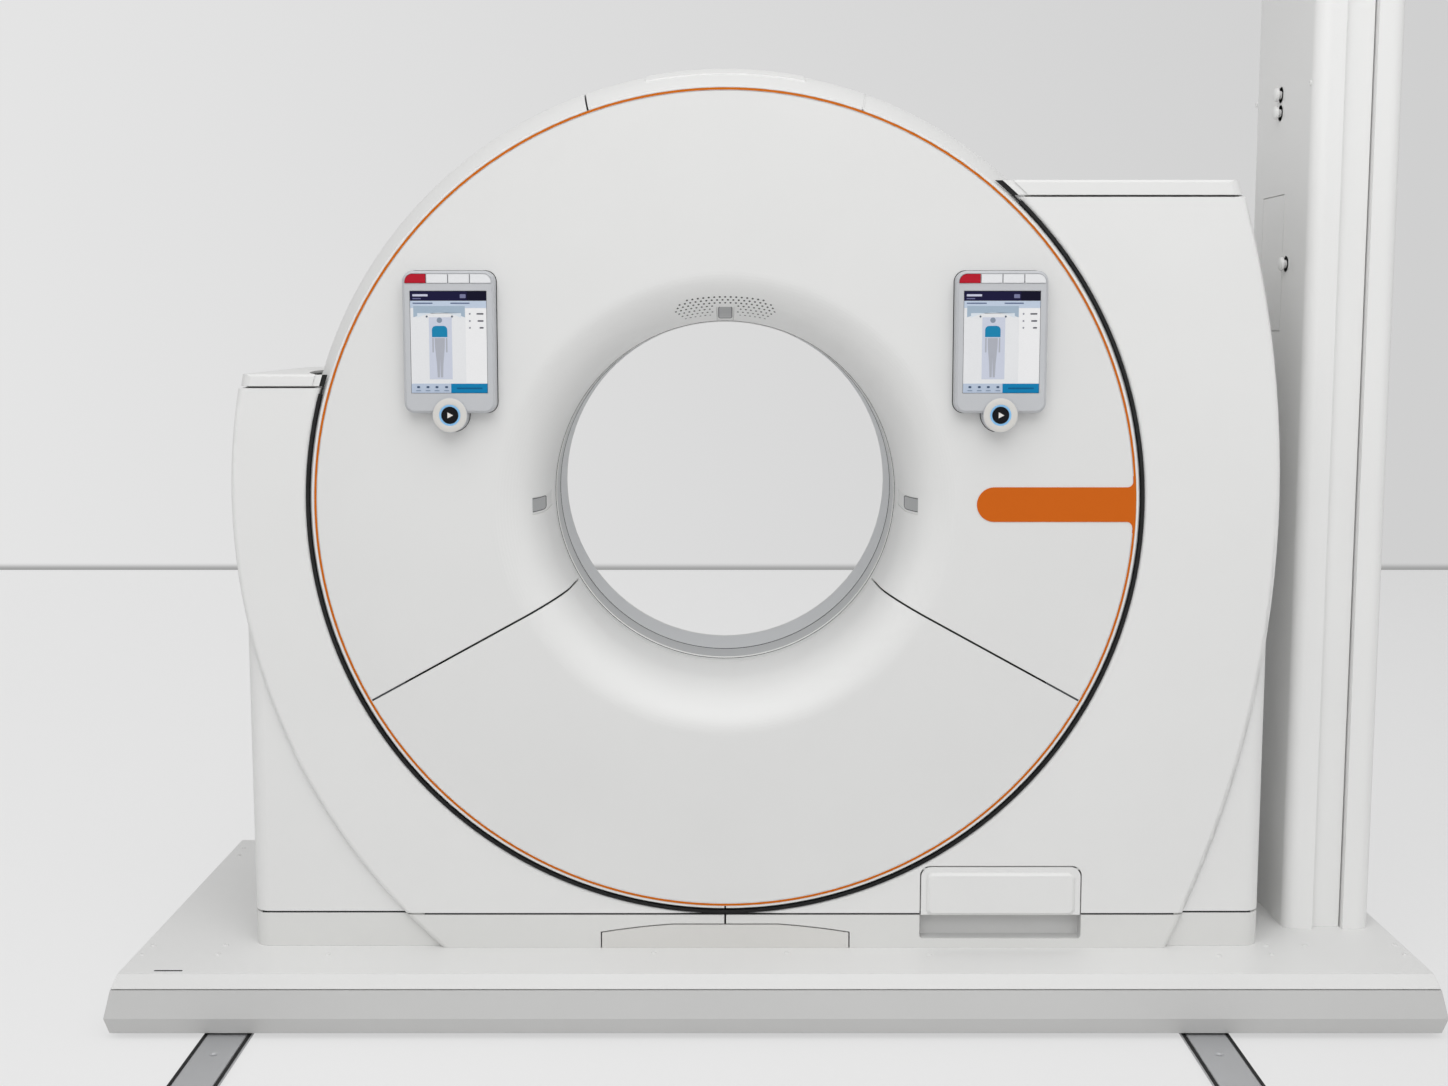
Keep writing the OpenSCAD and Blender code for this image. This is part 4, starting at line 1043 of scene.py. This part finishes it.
class SCANNER_OT_stage(bpy.types.Operator):
    """Makes the floor, the wall, the lamps and the camera."""

    bl_idname = "scanner.stage"
    bl_label = "Studio"

    def execute(self, context):
        stage = context.scene.scanner_stage
        w = stage.wall_y
        floor = mesh_object(
            "studio_floor",
            [(-14, -9, 0), (14, -9, 0), (14, w, 0), (-14, w, 0)],
            [(0, 1, 2, 3)],
            studio_surface("studio_floor_paint", ("#F6F6F6", "#E4E4E4"), "#E0E0E0", 0.7),
        )
        wall = mesh_object(
            "studio_wall",
            [(-14, w, 0), (14, w, 0), (14, w, 9), (-14, w, 9)],
            [(0, 1, 2, 3)],
            studio_surface("studio_wall_paint", ("#E5E5E5", "#D0D0D0"), "#E0E0E0", 1.0, 0.05),
        )
        self.lamp("key_lamp", (0.0, -3.6, 4.8), (math.radians(34), 0, 0), 5.0, stage.key_power)
        self.lamp("fill_lamp", (-0.1, -6.0, 2.6), (math.radians(75), 0, 0), 5.0, stage.fill_power)
        world = bpy.data.worlds.new("studio_room")
        world.use_nodes = True
        tree = world.node_tree
        tree.nodes.clear()
        back = add_node(
            tree, "ShaderNodeBackground", {"Color": (1, 1, 1, 1), "Strength": stage.sky}
        )
        out = add_node(tree, "ShaderNodeOutputWorld")
        tree.links.new(back.outputs[0], out.inputs["Surface"])
        context.scene.world = world
        data = bpy.data.cameras.new("studio_camera")
        data.sensor_width = 36.0
        data.lens = stage.lens
        data.clip_end = 60.0
        camera = bpy.data.objects.new("studio_camera", data)
        aside = 2.6 * MM
        camera.location = (BORE_X - aside, -stage.camera_y, BORE_Z + stage.camera_z)
        camera.rotation_euler = (math.pi / 2 - stage.tilt, 0, 0)
        context.scene.collection.objects.link(camera)
        context.scene.camera = camera
        context.scene.view_settings.view_transform = "Standard"
        return {"FINISHED"}

    @staticmethod
    def lamp(name, place, turn, side, power):
        """A square lamp of a given side and power."""
        data = bpy.data.lights.new(name, "AREA")
        data.size = side
        data.energy = power
        lamp = bpy.data.objects.new(name, data)
        lamp.location = place
        lamp.rotation_euler = turn
        bpy.context.scene.collection.objects.link(lamp)


OPERATORS = [
    SCANNER_OT_finishes,
    SCANNER_OT_panels,
    SCANNER_OT_speaker,
    SCANNER_OT_lips,
    SCANNER_OT_seals,
    SCANNER_OT_screws,
    SCANNER_OT_stage,
]


class SCANNER_PT_sidebar(bpy.types.Panel):
    """Lists the scanner's sizes and steps in the sidebar."""

    bl_idname = "SCANNER_PT_sidebar"
    bl_label = "Scanner"
    bl_space_type = "VIEW_3D"
    bl_region_type = "UI"
    bl_category = "Scanner"

    def draw(self, context):
        for group in (context.scene.scanner_sizes, context.scene.scanner_stage):
            for name in group.bl_rna.properties.keys():
                if name not in ("rna_type", "name"):
                    self.layout.prop(group, name)
        for operator in OPERATORS:
            self.layout.operator(operator.bl_idname)


CLASSES = [ScannerSizes, ScannerStage, *OPERATORS, SCANNER_PT_sidebar]


def register():
    """Adds the classes and their settings to the scene."""
    for cls in CLASSES:
        bpy.utils.register_class(cls)
    bpy.types.Scene.scanner_sizes = bpy.props.PointerProperty(type=ScannerSizes)
    bpy.types.Scene.scanner_stage = bpy.props.PointerProperty(type=ScannerStage)


def unregister():
    """Takes the classes and their settings away again."""
    del bpy.types.Scene.scanner_stage
    del bpy.types.Scene.scanner_sizes
    for cls in reversed(CLASSES):
        bpy.utils.unregister_class(cls)


def main():
    """Runs every step in order."""
    register()
    for operator in OPERATORS:
        group, name = operator.bl_idname.split(".")
        getattr(getattr(bpy.ops, group), name)()


if __name__ == "__main__":
    main()
